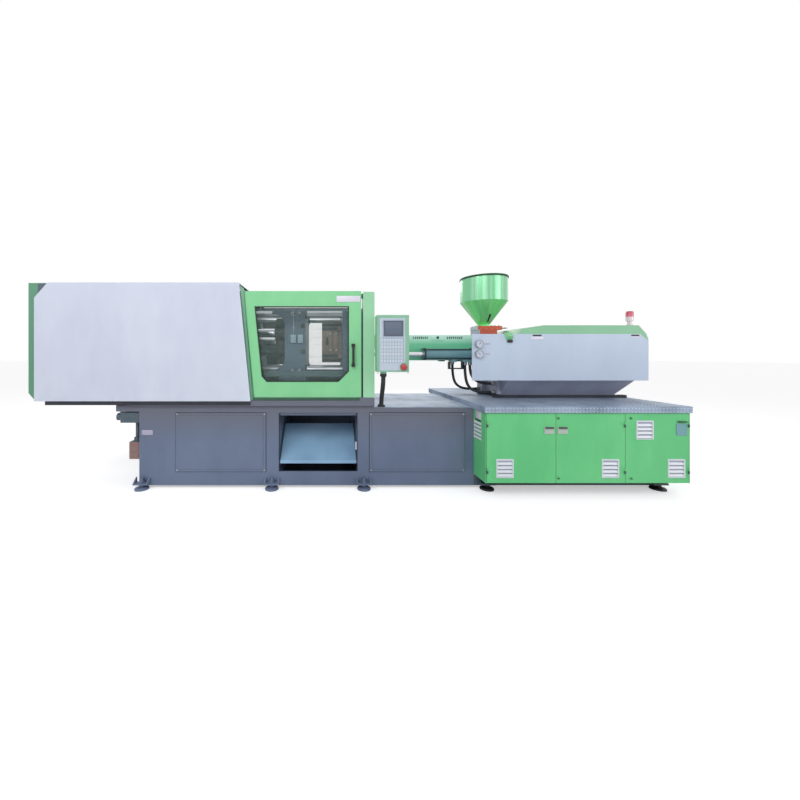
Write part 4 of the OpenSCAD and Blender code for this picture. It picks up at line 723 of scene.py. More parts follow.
def dress(obj, finish):
    """Puts a finish on every material slot of a piece."""
    if not obj.material_slots:
        obj.data.materials.append(finish.material)
    for place in obj.material_slots:
        place.material = finish.material


for part in frame["record"]["subparts"]:
    dress(nodes[part["node"]], FINISHES[part["material_slot"]])
OWN_PAINT = {
    "barrel_guard": guard_green, "carriage_cylinders": cylinder_blue, "injection_cover": cover_white,
    "cover_top": top_green, "guard_columns": column_green, "gate_rails": base_finish,
    "feed_block": feed_cast, "lubricator": pump_paint,
}
for name, finish in OWN_PAINT.items():
    dress(nodes[name], finish)
dress(conduit, black_plastic)
for hose in hoses:
    dress(hose, hose_rubber)

# %% [markdown]
# The small pieces are built from two moves that a workshop knows: cutting a plate to an outline and turning
# a profile in a lathe. Shape gathers such plates and turned parts into one mesh, so that a set of like
# screws is one piece. Plates have really bevelled edges where these show, because a bevel catches light
# that a sharp edge can't.
# %% Plates and turned parts
AXES = {"x": (1, 2, 0), "y": (0, 2, 1), "z": (0, 1, 2)}


def point_across(axis, u, v, w):
    """The point at u and v in the plane across an axis, and at w along it."""
    spot = [0.0, 0.0, 0.0]
    for place, value in zip(AXES[axis], (u, v, w)):
        spot[place] = value
    return Vector(spot)


def rounded(u0, u1, v0, v1, corner, steps=4):
    """The outline of a plate with round corners."""
    outline = []
    corners = ((u1 - corner, v1 - corner), (u0 + corner, v1 - corner),
               (u0 + corner, v0 + corner), (u1 - corner, v0 + corner))
    for turn, (u, v) in enumerate(corners):
        for k in range(steps + 1):
            angle = (turn + k / steps) * pi / 2
            outline.append((u + corner * cos(angle), v + corner * sin(angle)))
    return outline


class Shape:
    """Gathers the plates and turned parts of one piece."""

    def __init__(self):
        self.mesh = bmesh.new()

    def plate(self, axis, outline, low, high, bevel=0.0):
        """A plate across an axis, from low to high along it."""
        near = [self.mesh.verts.new(point_across(axis, u, v, low)) for u, v in outline]
        far = [self.mesh.verts.new(point_across(axis, u, v, high)) for u, v in outline]
        count = len(outline)
        faces = [self.mesh.faces.new(near), self.mesh.faces.new(list(reversed(far)))]
        for k in range(count):
            after = (k + 1) % count
            faces.append(self.mesh.faces.new((near[after], near[k], far[k], far[after])))
        if bevel:
            rims = [edge for face in faces[:2] for edge in face.edges]
            bmesh.ops.bevel(self.mesh, geom=rims, offset=bevel, segments=2, affect="EDGES", profile=0.5)
        return self

    def block(self, low, high, bevel=0.002):
        outline = [(low[0], low[2]), (high[0], low[2]), (high[0], high[2]), (low[0], high[2])]
        return self.plate("y", outline, low[1], high[1], bevel)

    def band(self, axis, outer, inner, low, high):
        """A closed frame between two outlines of as many points."""
        count = len(outer)
        rings = [[self.mesh.verts.new(point_across(axis, u, v, w)) for u, v in line]
                 for line, w in ((outer, low), (outer, high), (inner, high), (inner, low))]
        for k in range(count):
            after = (k + 1) % count
            for ring, other in zip(rings, rings[1:] + rings[:1]):
                self.mesh.faces.new((ring[k], ring[after], other[after], other[k]))
        return self

    def turned(self, axis, centre, profile, steps=28):
        """A lathe part: the profile lists how far along the axis and how far out."""
        u0, v0, w0 = (centre[place] for place in AXES[axis])
        rings = []
        for along, radius in profile:
            angles = [2 * pi * k / steps for k in range(steps if radius > 0 else 1)]
            rings.append([self.mesh.verts.new(point_across(
                axis, u0 + radius * cos(t), v0 + radius * sin(t), w0 + along)) for t in angles])
        for low, high in zip(rings, rings[1:]):
            for k in range(steps):
                after = (k + 1) % steps
                corners = (low[k % len(low)], low[after % len(low)],
                           high[after % len(high)], high[k % len(high)])
                corners = list(dict.fromkeys(corners))
                if len(corners) > 2:
                    self.mesh.faces.new(corners)
        return self

    def done(self, name, body, slot, finish=None):
        """Makes the piece, lets it ride on its body and gives it its own finish or its slot's."""
        bmesh.ops.recalc_face_normals(self.mesh, faces=self.mesh.faces)
        data = bpy.data.meshes.new(name)
        self.mesh.to_mesh(data)
        self.mesh.free()
        made = bpy.data.objects.new(name, data)
        scene.collection.objects.link(made)
        data.shade_smooth()
        data.set_sharp_from_angle(angle=radians(32))
        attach(made, body)
        dress(made, finish or FINISHES[slot])
        return made


def screw_head(radius, height):
    """Profile of a button head, pointing to the low side of its axis."""
    return [(0.0, 0.0), (0.0, radius), (-height * 0.5, radius), (-height, radius * 0.7),
            (-height, radius * 0.36), (-height * 0.45, radius * 0.36), (-height * 0.45, 0.0)]


def disc(radius, height):
    """Profile of a plain disc."""
    return [(0, 0), (0, radius), (height, radius), (height, 0)]


def ring(inner, outer, length):
    """Profile of a plain ring."""
    return [(0, inner), (0, outer), (length, outer), (length, inner), (0, inner)]


print("shapes ready, axes", list(AXES))

# %% [markdown]
# Each gate window sits in a rubber profile, which shows as a dark line round the clear pane, and the dark
# line is also painted shade at the edge of the opening. The outline is the pane's own, brought in by what the
# pane overlaps, and the rear gate repeats it on the other side.
# %% Window seals
pane_low, pane_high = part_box("front_gate_window")
pane_lap = 0.018
seal_width = 0.010
seal_proud = 0.003
seal_sunk = 0.012
skin_y = -0.575
slant = 0.095
foot_run = 0.110
foot_corner = (0.066, 0.050)


def window_outline(grow):
    x0, x1 = pane_low.x + pane_lap, pane_high.x - pane_lap
    z0, z1 = pane_low.z + pane_lap, pane_high.z - pane_lap
    return [(x0 - grow, z1 + grow), (x1 + grow, z1 + grow), (x1 + grow, z0 + slant - grow / 2),
            (x1 - slant + grow / 2, z0 - grow), (x0 + foot_run - grow / 2, z0 - grow),
            (x0 + foot_corner[0] - grow, z0 + foot_corner[1] - grow / 2)]


for side, word in ((1, "front"), (-1, "rear")):
    near, far = sorted((side * (skin_y - seal_proud), side * (skin_y + seal_sunk)))
    # dark rubber seal, which is also painted shade at the edge of the window opening
    seal = Shape().band("y", window_outline(seal_width / 2), window_outline(-seal_width / 2), near, far)
    seal.done(word + "_window_seal_and_shade", word + "_gate", "black_plastic", seal_rubber)
print("seals round a window", round(pane_high.x - pane_low.x, 3), "m wide")

# %% [markdown]
# Plates that carried words on the real machine are left blank: thin pressed sheets with round corners, a
# pin at each end, in white or grey. One function makes them all, given the face that they sit on.
# %% Blank plates
plate_t = 0.0024
plate_bevel = 0.0007
pin_in = 0.006
pin = [(0, 0), (0, 0.0022), (-0.0012, 0.0014), (-0.0012, 0)]


def blank_plate(name, x0, x1, z0, z1, face, body, finish=plate_white):
    """A bare plate from x0 to x1 and z0 to z1 on a face that looks to the front."""
    corner = min(x1 - x0, z1 - z0) * 0.16
    shape = Shape().plate("y", rounded(x0, x1, z0, z1, corner), face - plate_t, face, plate_bevel)
    for x_pin in (x0 + pin_in, x1 - pin_in):
        shape.turned("y", (x_pin, face - plate_t, (z0 + z1) / 2), pin, 10)
    return shape.done(name, body, "gear_white", finish)


base_face = -0.550
post_x = chute_high.x
blank_plate("gate_plate", -0.102, 0.117, 1.741, 1.797, skin_y, "front_gate")
blank_plate("base_plate", -1.929, -1.824, 0.497, 0.544, base_face, "root", plate_grey)
blank_plate("chute_post_plate", post_x - 0.020, post_x - 0.007, 0.356, 0.430, chute_low.y, "root")
blank_plate("cover_plate", 1.800, 1.922, 1.398, 1.426, cover_low.y, "injection_unit")
for number, height in enumerate((1.356, 1.258)):
    blank_plate("gauge_plate_%d" % number, 1.352, 1.402, height - 0.005, height + 0.007, cover_low.y,
                "injection_unit", plate_grey)
blank_plate("right_cover_plate", 2.779, 2.862, 1.421, 1.431, cover_low.y, "injection_unit")
side_face = panel_low.x + 0.004
side_plate = Shape().plate("x", rounded(-0.702, -0.598, 0.668, 0.742, 0.008),
                           side_face - plate_t, side_face, plate_bevel)
side_plate.done("side_plate", "root", "gear_white", plate_white)
print("blank plates on", "gate, base, cover and cabinet side")

# %% [markdown]
# A pressure gauge is a turned case with a pale grey dial, tick marks, a needle and a glass. The
# construction has the case and its bezel; the dial goes in the bezel's recess. The ticks run over three
# quarters of a turn, longer at every third, and say nothing about a scale.
# %% Gauge dials
gauges_low, gauges_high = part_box("pressure_gauges")
gauge_x = (gauges_low.x + gauges_high.x) / 2
gauge_r = (gauges_high.x - gauges_low.x) / 2 - 0.005
dial_y = gauges_low.y + 0.004
gauge_heights = (gauges_high.z - 0.039, gauges_low.z + 0.039)
tick_count = 19
tick_end = gauge_r - 0.003
dial_t = 0.0012
needle_turns = (0.62, 0.35)


def along_dial(turn, radius):
    """A place on the dial: turn 0 is the lowest reading, at the lower left."""
    angle = radians(225 - 270 * turn)
    return radius * cos(angle), radius * sin(angle)


def dial_bar(shape, height, turn, inner, outer, half, face):
    across = Vector(along_dial(turn, 1.0)).orthogonal() * half
    low = Vector(along_dial(turn, inner))
    high = Vector(along_dial(turn, outer))
    outline = [low - across, low + across, high + across, high - across]
    shape.plate("y", [(gauge_x + p.x, height + p.y) for p in outline], face - 0.0006, face)


dials = Shape()
marks = Shape()
for height, reading in zip(gauge_heights, needle_turns):
    dials.turned("y", (gauge_x, dial_y, height), disc(gauge_r, -dial_t), 48)
    for k in range(tick_count):
        length = 0.007 if k % 3 == 0 else 0.004
        dial_bar(marks, height, k / (tick_count - 1), tick_end - length, tick_end, 0.0007, dial_y - dial_t)
    dial_bar(marks, height, reading, -0.008, gauge_r - 0.011, 0.0012, dial_y - 0.0020)
    marks.turned("y", (gauge_x, dial_y - dial_t, height), [(0, 0.004), (-0.0022, 0.004), (-0.0022, 0)], 16)
dials.done("gauge_dials", "injection_unit", "gear_white", dial_grey)
marks.done("gauge_marks", "injection_unit", "black_plastic")
print("gauges at", [round(h, 3) for h in gauge_heights])

# %% [markdown]
# The guard over the hot barrel is a louvred sheet box. Its middle holds a plate of its own paint with one
# dark knob, and rows of button heads keep the sheet down. They follow the guard's own box.
# %% Barrel guard details
guard_mid = 0.990
guard_plate_half = 0.062
guard_plate_y = guard_low.y - 0.004
head_rows = (guard_low.z + 0.022, guard_high.z - 0.020)
head_count = 8
head_margin = 0.05
centre = Shape().plate("y", rounded(guard_mid - guard_plate_half, guard_mid + guard_plate_half,
                                    guard_high.z - 0.062, guard_high.z - 0.006, 0.006),
                       guard_plate_y, guard_low.y, 0.001)
centre.done("guard_plate", "injection_unit", "casing_green", guard_green)
knob = Shape().turned("y", (guard_mid, guard_plate_y, guard_high.z - 0.026),
                      [(0, 0), (0, 0.013), (-0.008, 0.013), (-0.011, 0.010), (-0.011, 0)], 24)
knob.done("guard_knob", "injection_unit", "black_plastic")
heads = Shape()
for k in range(head_count):
    x_head = guard_low.x + head_margin + k * (guard_high.x - guard_low.x - 2 * head_margin) / (head_count - 1)
    for z_head in head_rows:
        heads.turned("y", (x_head, guard_low.y, z_head), screw_head(0.0065, 0.004), 12)
heads.done("guard_screws", "injection_unit", "machine_steel")
print("guard plate at x", guard_mid)

# %% [markdown]
# The cover has two dark slots below its green top, taken for the places of a hoist's fork, and a green hook
# bracket beside the gauges. The hook is a bent plate, and its lower end carries a black rubber pad.
# %% Cover slots and hook bracket
slot_z = 1.437
slots = Shape()
for x0, x1 in ((1.818, 1.905), (2.781, 2.860)):
    slots.plate("y", rounded(x0, x1, slot_z - 0.006, slot_z + 0.009, 0.005),
                cover_low.y - 0.0012, cover_low.y + 0.002)
slots.done("cover_slots", "injection_unit", "black_plastic")

hook_x0, hook_x1 = 1.538, 1.620
hook_z0, hook_z1 = 1.365, 1.466
hook_t = 0.008
hook = Shape()
hook.plate("y", [(hook_x0 + 0.022, hook_z0 + 0.030), (hook_x1 - 0.008, hook_z0 + 0.030), (hook_x1, hook_z1),
                 (hook_x0, hook_z1)], cover_low.y - hook_t, cover_low.y, 0.0015)
hook.plate("x", [(cover_low.y - hook_t, hook_z0 + 0.030), (cover_low.y - 0.052, hook_z0 + 0.062),
                 (cover_low.y - 0.052, hook_z0 + 0.078), (cover_low.y - hook_t, hook_z0 + 0.052)],
           hook_x0 + 0.026, hook_x1 - 0.012, 0.0015)
hook.done("cover_hook", "injection_unit", "gate_green")
grip = Shape().plate("y", rounded(hook_x0 + 0.030, hook_x1 - 0.002, hook_z0 + 0.004, hook_z0 + 0.030, 0.006),
                     cover_low.y - 0.014, cover_low.y, 0.002)
grip.done("cover_hook_pad", "injection_unit", "hose_rubber")
heads = Shape()
for x_head in (hook_x0 + 0.014, hook_x1 - 0.014):
    heads.turned("y", (x_head, cover_low.y - hook_t, hook_z1 - 0.014), screw_head(0.006, 0.004), 12)
heads.done("cover_hook_screws", "injection_unit", "machine_steel")
print("slots at z", slot_z, "hook at x", hook_x0)

# %% [markdown]
# The hopper is a rolled sheet drum on a cone. Beads stiffen the drum, a dark seal lies under the lid, a
# narrow sight glass in a raised frame follows the cone, and bolts hold the base on the feed slide.
# %% Hopper fittings
drum_x = (hopper_low.x + hopper_high.x) / 2
drum_y = (hopper_low.y + hopper_high.y) / 2
drum_r = 0.240
bead_half = 0.003
bead_proud = 0.0014


def hoop(shape, height, half, proud):
    """A flat band round the drum."""
    profile = ring(drum_r + 0.0004, drum_r + proud, 2 * half)
    shape.turned("z", (drum_x, drum_y, height - half), profile, 72)


seams = Shape()
hoop(seams, seam_z + 0.003, bead_half, bead_proud)
hoop(seams, hopper_high.z - 0.020, bead_half, bead_proud)
seams.done("hopper_beads", "injection_unit", "hopper_green")
rim = Shape()
hoop(rim, hopper_high.z - 0.008, 0.0075, 0.0062)
rim.done("hopper_rim_seal", "injection_unit", "hose_rubber", seal_rubber)

throat_r = 0.061
cone_foot = hopper_low.z + 0.020
cone_slope = (drum_r - throat_r) / (seam_z - cone_foot)
sight_low, sight_high = 1.602, 1.680
sight_turn = -86
sight_steps = 8


def on_cone(height, turn, proud):
    radius = throat_r + (height - cone_foot) * cone_slope + proud
    return Vector((drum_x + radius * cos(turn), drum_y + radius * sin(turn), height))


def cone_window(name, spread, grow, proud, slot):
    """A narrow upright plate that follows the cone."""
    left, right = sight_turn - spread, sight_turn + spread
    section = ((left, 0.0), (left, proud), (right, proud), (right, 0.0))
    shape = Shape()
    rows = []
    for k in range(sight_steps + 1):
        height = sight_low - grow + k * (sight_high - sight_low + 2 * grow) / sight_steps
        rows.append([shape.mesh.verts.new(on_cone(height, radians(angle), out)) for angle, out in section])
    for low, high in zip(rows, rows[1:]):
        for a in range(4):
            b = (a + 1) % 4
            shape.mesh.faces.new((low[a], low[b], high[b], high[a]))
    shape.mesh.faces.new(rows[0])
    shape.mesh.faces.new(list(reversed(rows[-1])))
    shape.done(name, "injection_unit", slot)


cone_window("hopper_sight_frame", 8.0, 0.008, 0.003, "hopper_green")
cone_window("hopper_sight_glass", 4.5, 0.0, 0.005, "black_plastic")
hex_bolt = [(0, 0), (0, 0.009), (0.006, 0.009), (0.008, 0.007), (0.008, 0)]
bolts = Shape()
for x_bolt in (slide_low.x + 0.020, drum_x + 0.085, slide_high.x - 0.030):
    for y_bolt in (slide_low.y + 0.016, slide_high.y - 0.016):
        bolts.turned("z", (x_bolt, y_bolt, slide_high.z), hex_bolt, 6)
for k in range(4):
    bolts.turned("y", (slide_low.x + 0.03 + k * 0.06, slide_low.y, slide_low.z + 0.012),
                 screw_head(0.005, 0.003), 12)
bolts.done("hopper_base_bolts", "injection_unit", "machine_steel")
print("drum radius", round(drum_r, 3), "seam at", round(seam_z, 3))

# %% [markdown]
# Inside the gate window stand the castings that the clamp pushes: behind the moving platen a dark ejector
# casting with bored bosses, on its face two pale sensor blocks with a thin oil pipe, and cable clamps at
# its edge. They ride with the moving platen, so they stay in place when it opens.
# %% Ejector casting and platen fittings
platen_low, platen_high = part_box("moving_platen")
housing_low, housing_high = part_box("ejector_housing")
axis_z = 1.380
platen_face = -0.330
boss_pitch = 0.057
boss_rows = 8
boss = [(0, 0.024), (-0.012, 0.024), (-0.014, 0.021), (-0.014, 0.013), (-0.002, 0.013), (-0.002, 0)]
bosses = Shape()
for column in range(2):
    for row in range(boss_rows):
        x_boss = housing_low.x + 0.032 + column * 0.056
        z_boss = housing_low.z + 0.030 + row * boss_pitch
        bosses.turned("y", (x_boss, housing_low.y, z_boss), boss, 20)
for row in range(boss_rows + 1):
    height = housing_low.z + 0.0015 + row * boss_pitch
    bosses.block((housing_low.x + 0.002, housing_low.y - 0.009, height - 0.003),
                 (housing_high.x - 0.002, housing_low.y, height + 0.003), 0.001)
bosses.done("ejector_bosses", "moving_platen", "dark_steel")

sensor_blue = moulded("sensor_blue_grey", tone(156, 184, 194), tone(138, 166, 178), 0.35, 400.0, 0.00005, 0.2)
sensor_low, sensor_high = 1.369, 1.451
blocks = Shape()
for x0, x1 in ((-0.5565, -0.500), (-0.484, -0.433)):
    blocks.block((x0, platen_face - 0.026, sensor_low), (x1, platen_face, sensor_high), 0.004)
    for height in (1.384, 1.400, 1.416):
        blocks.block((x0 + 0.008, platen_face - 0.029, height),
                     (x1 - 0.008, platen_face - 0.025, height + 0.008), 0.001)
blocks.done("sensor_blocks", "moving_platen", "gear_white", sensor_blue)

pipe_x = -0.528
pipe = Shape().turned("z", (pipe_x, platen_face - 0.006, sensor_high), disc(0.004, 0.235), 12)
for height in (1.52, 1.64):
    pipe.block((pipe_x - 0.010, platen_face - 0.011, height), (pipe_x + 0.010, platen_face, height + 0.010),
               0.001)
pipe.done("platen_oil_pipe", "moving_platen", "machine_steel")

clamps = Shape()
for low, high in ((1.518, 1.559), (1.266, 1.304)):
    clamps.block((-0.452, platen_face - 0.022, low), (-0.414, platen_face, high), 0.003)
clamps.done("platen_clamps", "moving_platen", "black_plastic")

bolt_lift = 0.285
eyes = Shape()
for x_eye in (platen_low.x + 0.20, platen_high.x - 0.06):
    for lift in (bolt_lift, -bolt_lift):
        eyes.turned("y", (x_eye, platen_face, axis_z + lift), screw_head(0.016, 0.010), 20)
eyes.done("platen_bolts", "moving_platen", "machine_steel")

platen_back = -0.617
rod_y, rod_z = -0.200, axis_z + 0.095
rod_bore = 0.0455
lug_half = 0.030
stop_r = 0.071
collar = [(0, rod_bore), (0, 0.080), (-0.026, 0.080), (-0.030, 0.064), (-0.112, 0.058), (-0.116, 0.054),
          (-0.116, rod_bore), (0, rod_bore)]
stop_bolt = [(0.002, 0), (0.002, 0.006), (-0.006, 0.006), (-0.006, 0)]
collars = Shape().turned("x", (platen_back, rod_y, rod_z), collar, 32)
for lug_low, lug_high in ((-0.215, -0.070), (0.070, 0.150)):
    collars.plate("y", rounded(platen_back - 0.098, platen_back - 0.001, rod_z + lug_low, rod_z + lug_high,
                               0.010), rod_y - lug_half, rod_y + lug_half, 0.004)
for turn in range(6):
    angle = radians(30 + turn * 60)
    collars.turned("x", (platen_back - 0.030, rod_y + stop_r * sin(angle), rod_z + stop_r * cos(angle)),
                   stop_bolt, 6)
collars.done("rod_collars", "moving_platen", "dark_steel")
print("castings on", round(housing_low.x, 3), "to", round(platen_high.x, 3), "m")

# %% [markdown]
# The mould half is a stack of ground plates that were bolted together and left bare, so it is brownish with
# handling. Dark clamp bars hold it above and below, a lifting lock crosses the split line, and water
# nipples stick out of its side.
# %% Mould plates and clamps
mould_low, mould_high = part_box("mould_half")
side_y = -0.190
clamp_y = side_y - 0.012
stack = Shape()
splits = [mould_low.x, mould_low.x + 0.046, mould_low.x + 0.118, mould_high.x - 0.030]
for x0, x1 in zip(splits, splits[1:]):
    stack.block((x0 + 0.0015, side_y - 0.006, axis_z - 0.115), (x1 - 0.0015, side_y, axis_z + 0.125), 0.002)
stack.done("mould_side_plates", "root", "mould_steel")

bar_half = 0.015
brace_in, brace_out = mould_high.x - 0.090, mould_high.x - 0.012
bars = Shape()
for height in (axis_z + 0.138, axis_z + 0.180, axis_z - 0.140, axis_z - 0.182):
    bars.block((mould_low.x + 0.004, clamp_y, height - bar_half),
               (mould_high.x - 0.006, side_y, height + bar_half), 0.003)
braces = ((0.118, 0.152, 0.166, 0.132), (-0.132, -0.160, -0.146, -0.118))
for near_low, far_low, far_high, near_high in braces:
    bars.plate("y", [(brace_in, axis_z + near_low), (brace_out, axis_z + far_low),
                     (brace_out, axis_z + far_high), (brace_in, axis_z + near_high)],
               clamp_y - 0.008, clamp_y)
bars.plate("y", rounded(mould_low.x + 0.040, mould_low.x + 0.066, axis_z - 0.030, axis_z + 0.055, 0.012),
           side_y - 0.016, side_y - 0.005, 0.002)
bars.done("mould_clamps", "root", "dark_steel")

nipple = [(0, 0), (0, 0.009), (-0.010, 0.009), (-0.010, 0.006), (-0.028, 0.006), (-0.030, 0.004), (-0.030, 0)]
nipples = Shape()
for x_nipple in (mould_low.x + 0.090, mould_low.x + 0.150):
    for height in (axis_z - 0.080, axis_z + 0.090):
        nipples.turned("y", (x_nipple, side_y - 0.006, height), nipple, 16)
nipples.done("mould_nipples", "root", "machine_steel")

bar_offset = 0.280
bar_bore = 0.0345
wiper = [(0, bar_bore), (0, 0.050), (0.010, 0.050), (0.013, 0.046), (0.013, bar_bore), (0, bar_bore)]
wipers = Shape()
for side in (-1, 1):
    for lift in (-bar_offset, bar_offset):
        wipers.turned("x", (platen_high.x, side * bar_offset, axis_z + lift), wiper, 32)
wipers.done("tie_bar_wipers", "moving_platen", "hose_rubber", seal_rubber)
print("mould plates:", len(splits) - 1)

# %% [markdown]
# Edges and gaps draw a machine as much as its faces. The casing ends in a bent green return beside the
# gate, a dark sill under it is painted shade that fills the shaded gap there, the gate runs over a dark
# track, and each base panel sits on a gasket that shows as a thin line, held by screws near its corners. A
# flat dark tray between the walls of the base under the chute is painted shade too: a guess that answers a
# dark strip there.
# %% Returns, sill, track, tray and panel gaskets
sides_low, sides_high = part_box("casing_sides")
edge_foot = sides_high.x
edge_top = edge_foot - 0.100
return_w = 0.034
lip = Shape().plate("y", [(edge_foot + 0.001, sides_low.z + 0.012),
                          (edge_foot + return_w * 0.6, sides_low.z + 0.012),
                          (edge_top + return_w, sides_high.z - 0.055),
                          (edge_top + 0.001, sides_high.z - 0.020)],
                    -0.590, -0.578, 0.001)
lip.done("casing_return", "root", "casing_green")


def on_both_sides(x0, x1, y0, y1, z0, z1):
    """The same long block in front and, mirrored, at the back."""
    return Shape().block((x0, -y1, z0), (x1, -y0, z1), 0.002).block((x0, y0, z0), (x1, y1, z1), 0.002)


shade_sill_foot = 0.782
track_end = 0.112
# painted shade: a dark block fills the shaded gap under the casing
shade_sill = on_both_sides(sides_low.x + 0.090, edge_foot - 0.004, 0.560, 0.588, shade_sill_foot, sides_low.z - 0.001)
shade_sill.done("casing_shade_sill", "root", "dark_steel", seal_and_shade_dark)
track = on_both_sides(edge_foot + 0.012, track_end, 0.556, 0.586, 0.826, 0.849)
track.done("gate_track", "root", "black_plastic", track_green)

tray_x0, tray_x1 = -0.640, 0.095
tray_back, tray_front = -0.030, -0.545
tray_floor, tray_rim = 0.054, 0.072
# painted shade: a dark grey tray at the bottom of the bay under the chute
tray = Shape().block((tray_x0, tray_front, tray_floor - 0.004), (tray_x1, tray_back, tray_floor), 0.001)
tray.block((tray_x0, tray_back - 0.006, tray_floor), (tray_x1, tray_back, tray_rim), 0.001)
tray.done("shade_tray", "root", "dark_steel", shade_tray_grey)

panels_low, panels_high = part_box("base_panels")
panel_spans = ((panels_low.x, panels_low.x + 0.843), (panels_high.x - 0.891, panels_high.x))
gasket_out, gasket_in = 0.004, 0.0002
gasket_t = 0.0025
screw_in = 0.012
gaskets = Shape()
screws = Shape()


def panel_outline(x0, x1, grow, corner):
    return rounded(x0 - grow, x1 + grow, panels_low.z - grow, panels_high.z + grow, corner)


for face, out in ((base_face, -1), (-base_face, 1)):
    low, high = sorted((face, face + out * gasket_t))
    head = [(out * -along, radius) for along, radius in screw_head(0.008, 0.004)]
    for x0, x1 in panel_spans:
        gaskets.band("y", panel_outline(x0, x1, gasket_out, 0.006),
                     panel_outline(x0, x1, gasket_in, 0.004), low, high)
        for x_screw in (x0 + screw_in, x1 - screw_in):
            for z_screw in (panels_low.z + screw_in, panels_high.z - screw_in):
                screws.turned("y", (x_screw, face + out * 0.006, z_screw), head, 12)
gaskets.done("panel_gaskets", "root", "black_plastic", seal_and_shade_dark)
screws.done("panel_screws", "root", "machine_steel")
print("panel spans", [tuple(round(v, 3) for v in span) for span in panel_spans])

# %% [markdown]
# The doors are opened with recessed latches: a dark finger slot over each grey plate. Quarter-turn locks
# with round heads close the corners, and the blank blue plate has a slot of the same kind above it. Behind
# the slats of each vent lies a pale ribbed filter mat, a guess that answers how pale the vents look. The
# locks stand about 5 mm before the sheet of their doors, since their face is read from the latch plate.
# %% Latches, locks and filter mats
latch_proud = 0.006
door_face = door_left_low.y + latch_proud
lock = [(0, 0), (0, 0.009), (-0.003, 0.009), (-0.004, 0.007), (-0.004, 0.003), (-0.002, 0.003), (-0.002, 0)]
lock_places = {"door_middle": ((1.812, 0.700), (1.814, 0.180)),
               "door_right": ((2.440, 0.700), (2.444, 0.178))}
for body, places in lock_places.items():
    locks = Shape()
    for x_lock, z_lock in places:
        locks.turned("y", (x_lock, door_face, z_lock), lock, 20)
    locks.done(body + "_locks", body, "machine_steel", lock_green)

finger_slots = {"door_left": (1.697, 1.771, 0.612, 0.623), "door_middle": (1.814, 1.888, 0.612, 0.623),
                "door_right": (2.842, 2.920, 0.664, 0.674)}
for body, edges in finger_slots.items():
    finger = Shape().plate("y", rounded(*edges, 0.004), door_face - latch_proud - 0.0015, door_face + 0.0005,
                           0.0008)
    finger.done(body + "_slot", body, "black_plastic")

vent_doors = ("door_left", "door_middle", "door_right", "door_right")
mat_y = door_face + 0.0095
mat_t = 0.004
mat_lap = 0.006
rib_half = 0.0008
rib_count = 9
for number, (body, (vent_x, vent_z)) in enumerate(zip(vent_doors, vents)):
    mat = Shape().plate("y", rounded(vent_x - mat_lap, vent_x + vent_w + mat_lap,
                                     vent_z - mat_lap, vent_z + vent_h + mat_lap, 0.004),
                        mat_y, mat_y + mat_t, 0.001)
    for k in range(rib_count):
        x_rib = vent_x + mat_lap + k * (vent_w - 2 * mat_lap) / (rib_count - 1)
        mat.block((x_rib - rib_half, mat_y - 0.0006, vent_z),
                  (x_rib + rib_half, mat_y + 0.001, vent_z + vent_h), 0)
    mat.done("vent_filter_%d" % number, body, "gear_white", filter_mat)
print("locks on", list(lock_places), "filters behind", len(vents), "vents")

# %% [markdown]
# The last fittings: tie rods and a flange on each carriage cylinder, a stirrup that carries the hoses under
# the barrel, ferrules where hoses end, a gland and a foot ring for the conduit, ribs and fittings of the
# lubricator, and screws and a bezel round the screen of the control box.
# %% Cylinder ties, stirrup, ferrules and glands
push_z = 1.257
push_y = 0.176
tie_offset = 0.047
flange_half = 0.061
tie_rod = [(-0.024, 0), (-0.024, 0.010), (-0.016, 0.010), (-0.016, 0.0055), (0.500, 0.0055), (0.500, 0)]
ties = Shape()
for side in (-1, 1):
    centre_y = side * push_y
    for lift in (-tie_offset, tie_offset):
        ties.turned("x", (0.834, centre_y + side * tie_offset, push_z + lift), tie_rod, 12)
    ties.plate("x", rounded(centre_y - flange_half, centre_y + flange_half,
                            push_z - flange_half, push_z + flange_half, 0.010), 0.818, 0.836, 0.002)
    ties.turned("x", (1.306, centre_y, push_z), ring(0.0582, 0.0635, 0.020), 32)
ties.done("cylinder_ties", "injection_unit", "dark_steel")

strap_y0, strap_y1 = -0.200, -0.150
strap_foot = 1.100
stirrup = Shape()
for x0, x1, top_z in ((1.084, 1.098, 1.176), (1.222, 1.236, 1.176), (1.090, 1.230, 1.112)):
    stirrup.block((x0, strap_y0, strap_foot), (x1, strap_y1, top_z), 0.002)
stirrup.done("hose_stirrup", "injection_unit", "dark_steel")

hose_bore = 0.0142
ferrule = [(0, hose_bore), (0, 0.020), (-0.030, 0.020), (-0.034, 0.017), (-0.034, hose_bore), (0, hose_bore)]
hose_routes = (low_route, high_route, rear_route)
ferrules = Shape()
for route in hose_routes:
    ferrules.turned("z", route[0], ferrule, 20)
for route in hose_routes:
    ferrules.turned("x", route[-1], ferrule, 20)
ferrules.done("hose_ferrules", "injection_unit", "machine_steel")

conduit_bore = 0.0215
deck_ring_z = 0.7602
gland = [(0, conduit_bore), (0, 0.030), (-0.022, 0.030), (-0.026, 0.026), (-0.026, conduit_bore),
         (0, conduit_bore)]
foot_ring = [(0, conduit_bore), (0, 0.036), (0.012, 0.036), (0.020, 0.028), (0.020, conduit_bore),
             (0, conduit_bore)]
glands = Shape().turned("z", conduit_route[0], gland, 24)
glands.turned("z", (*conduit_route[-1][:2], deck_ring_z), foot_ring, 24)
glands.done("conduit_glands", "root", "black_plastic")
print("ferrules on", len(hose_routes), "hoses")

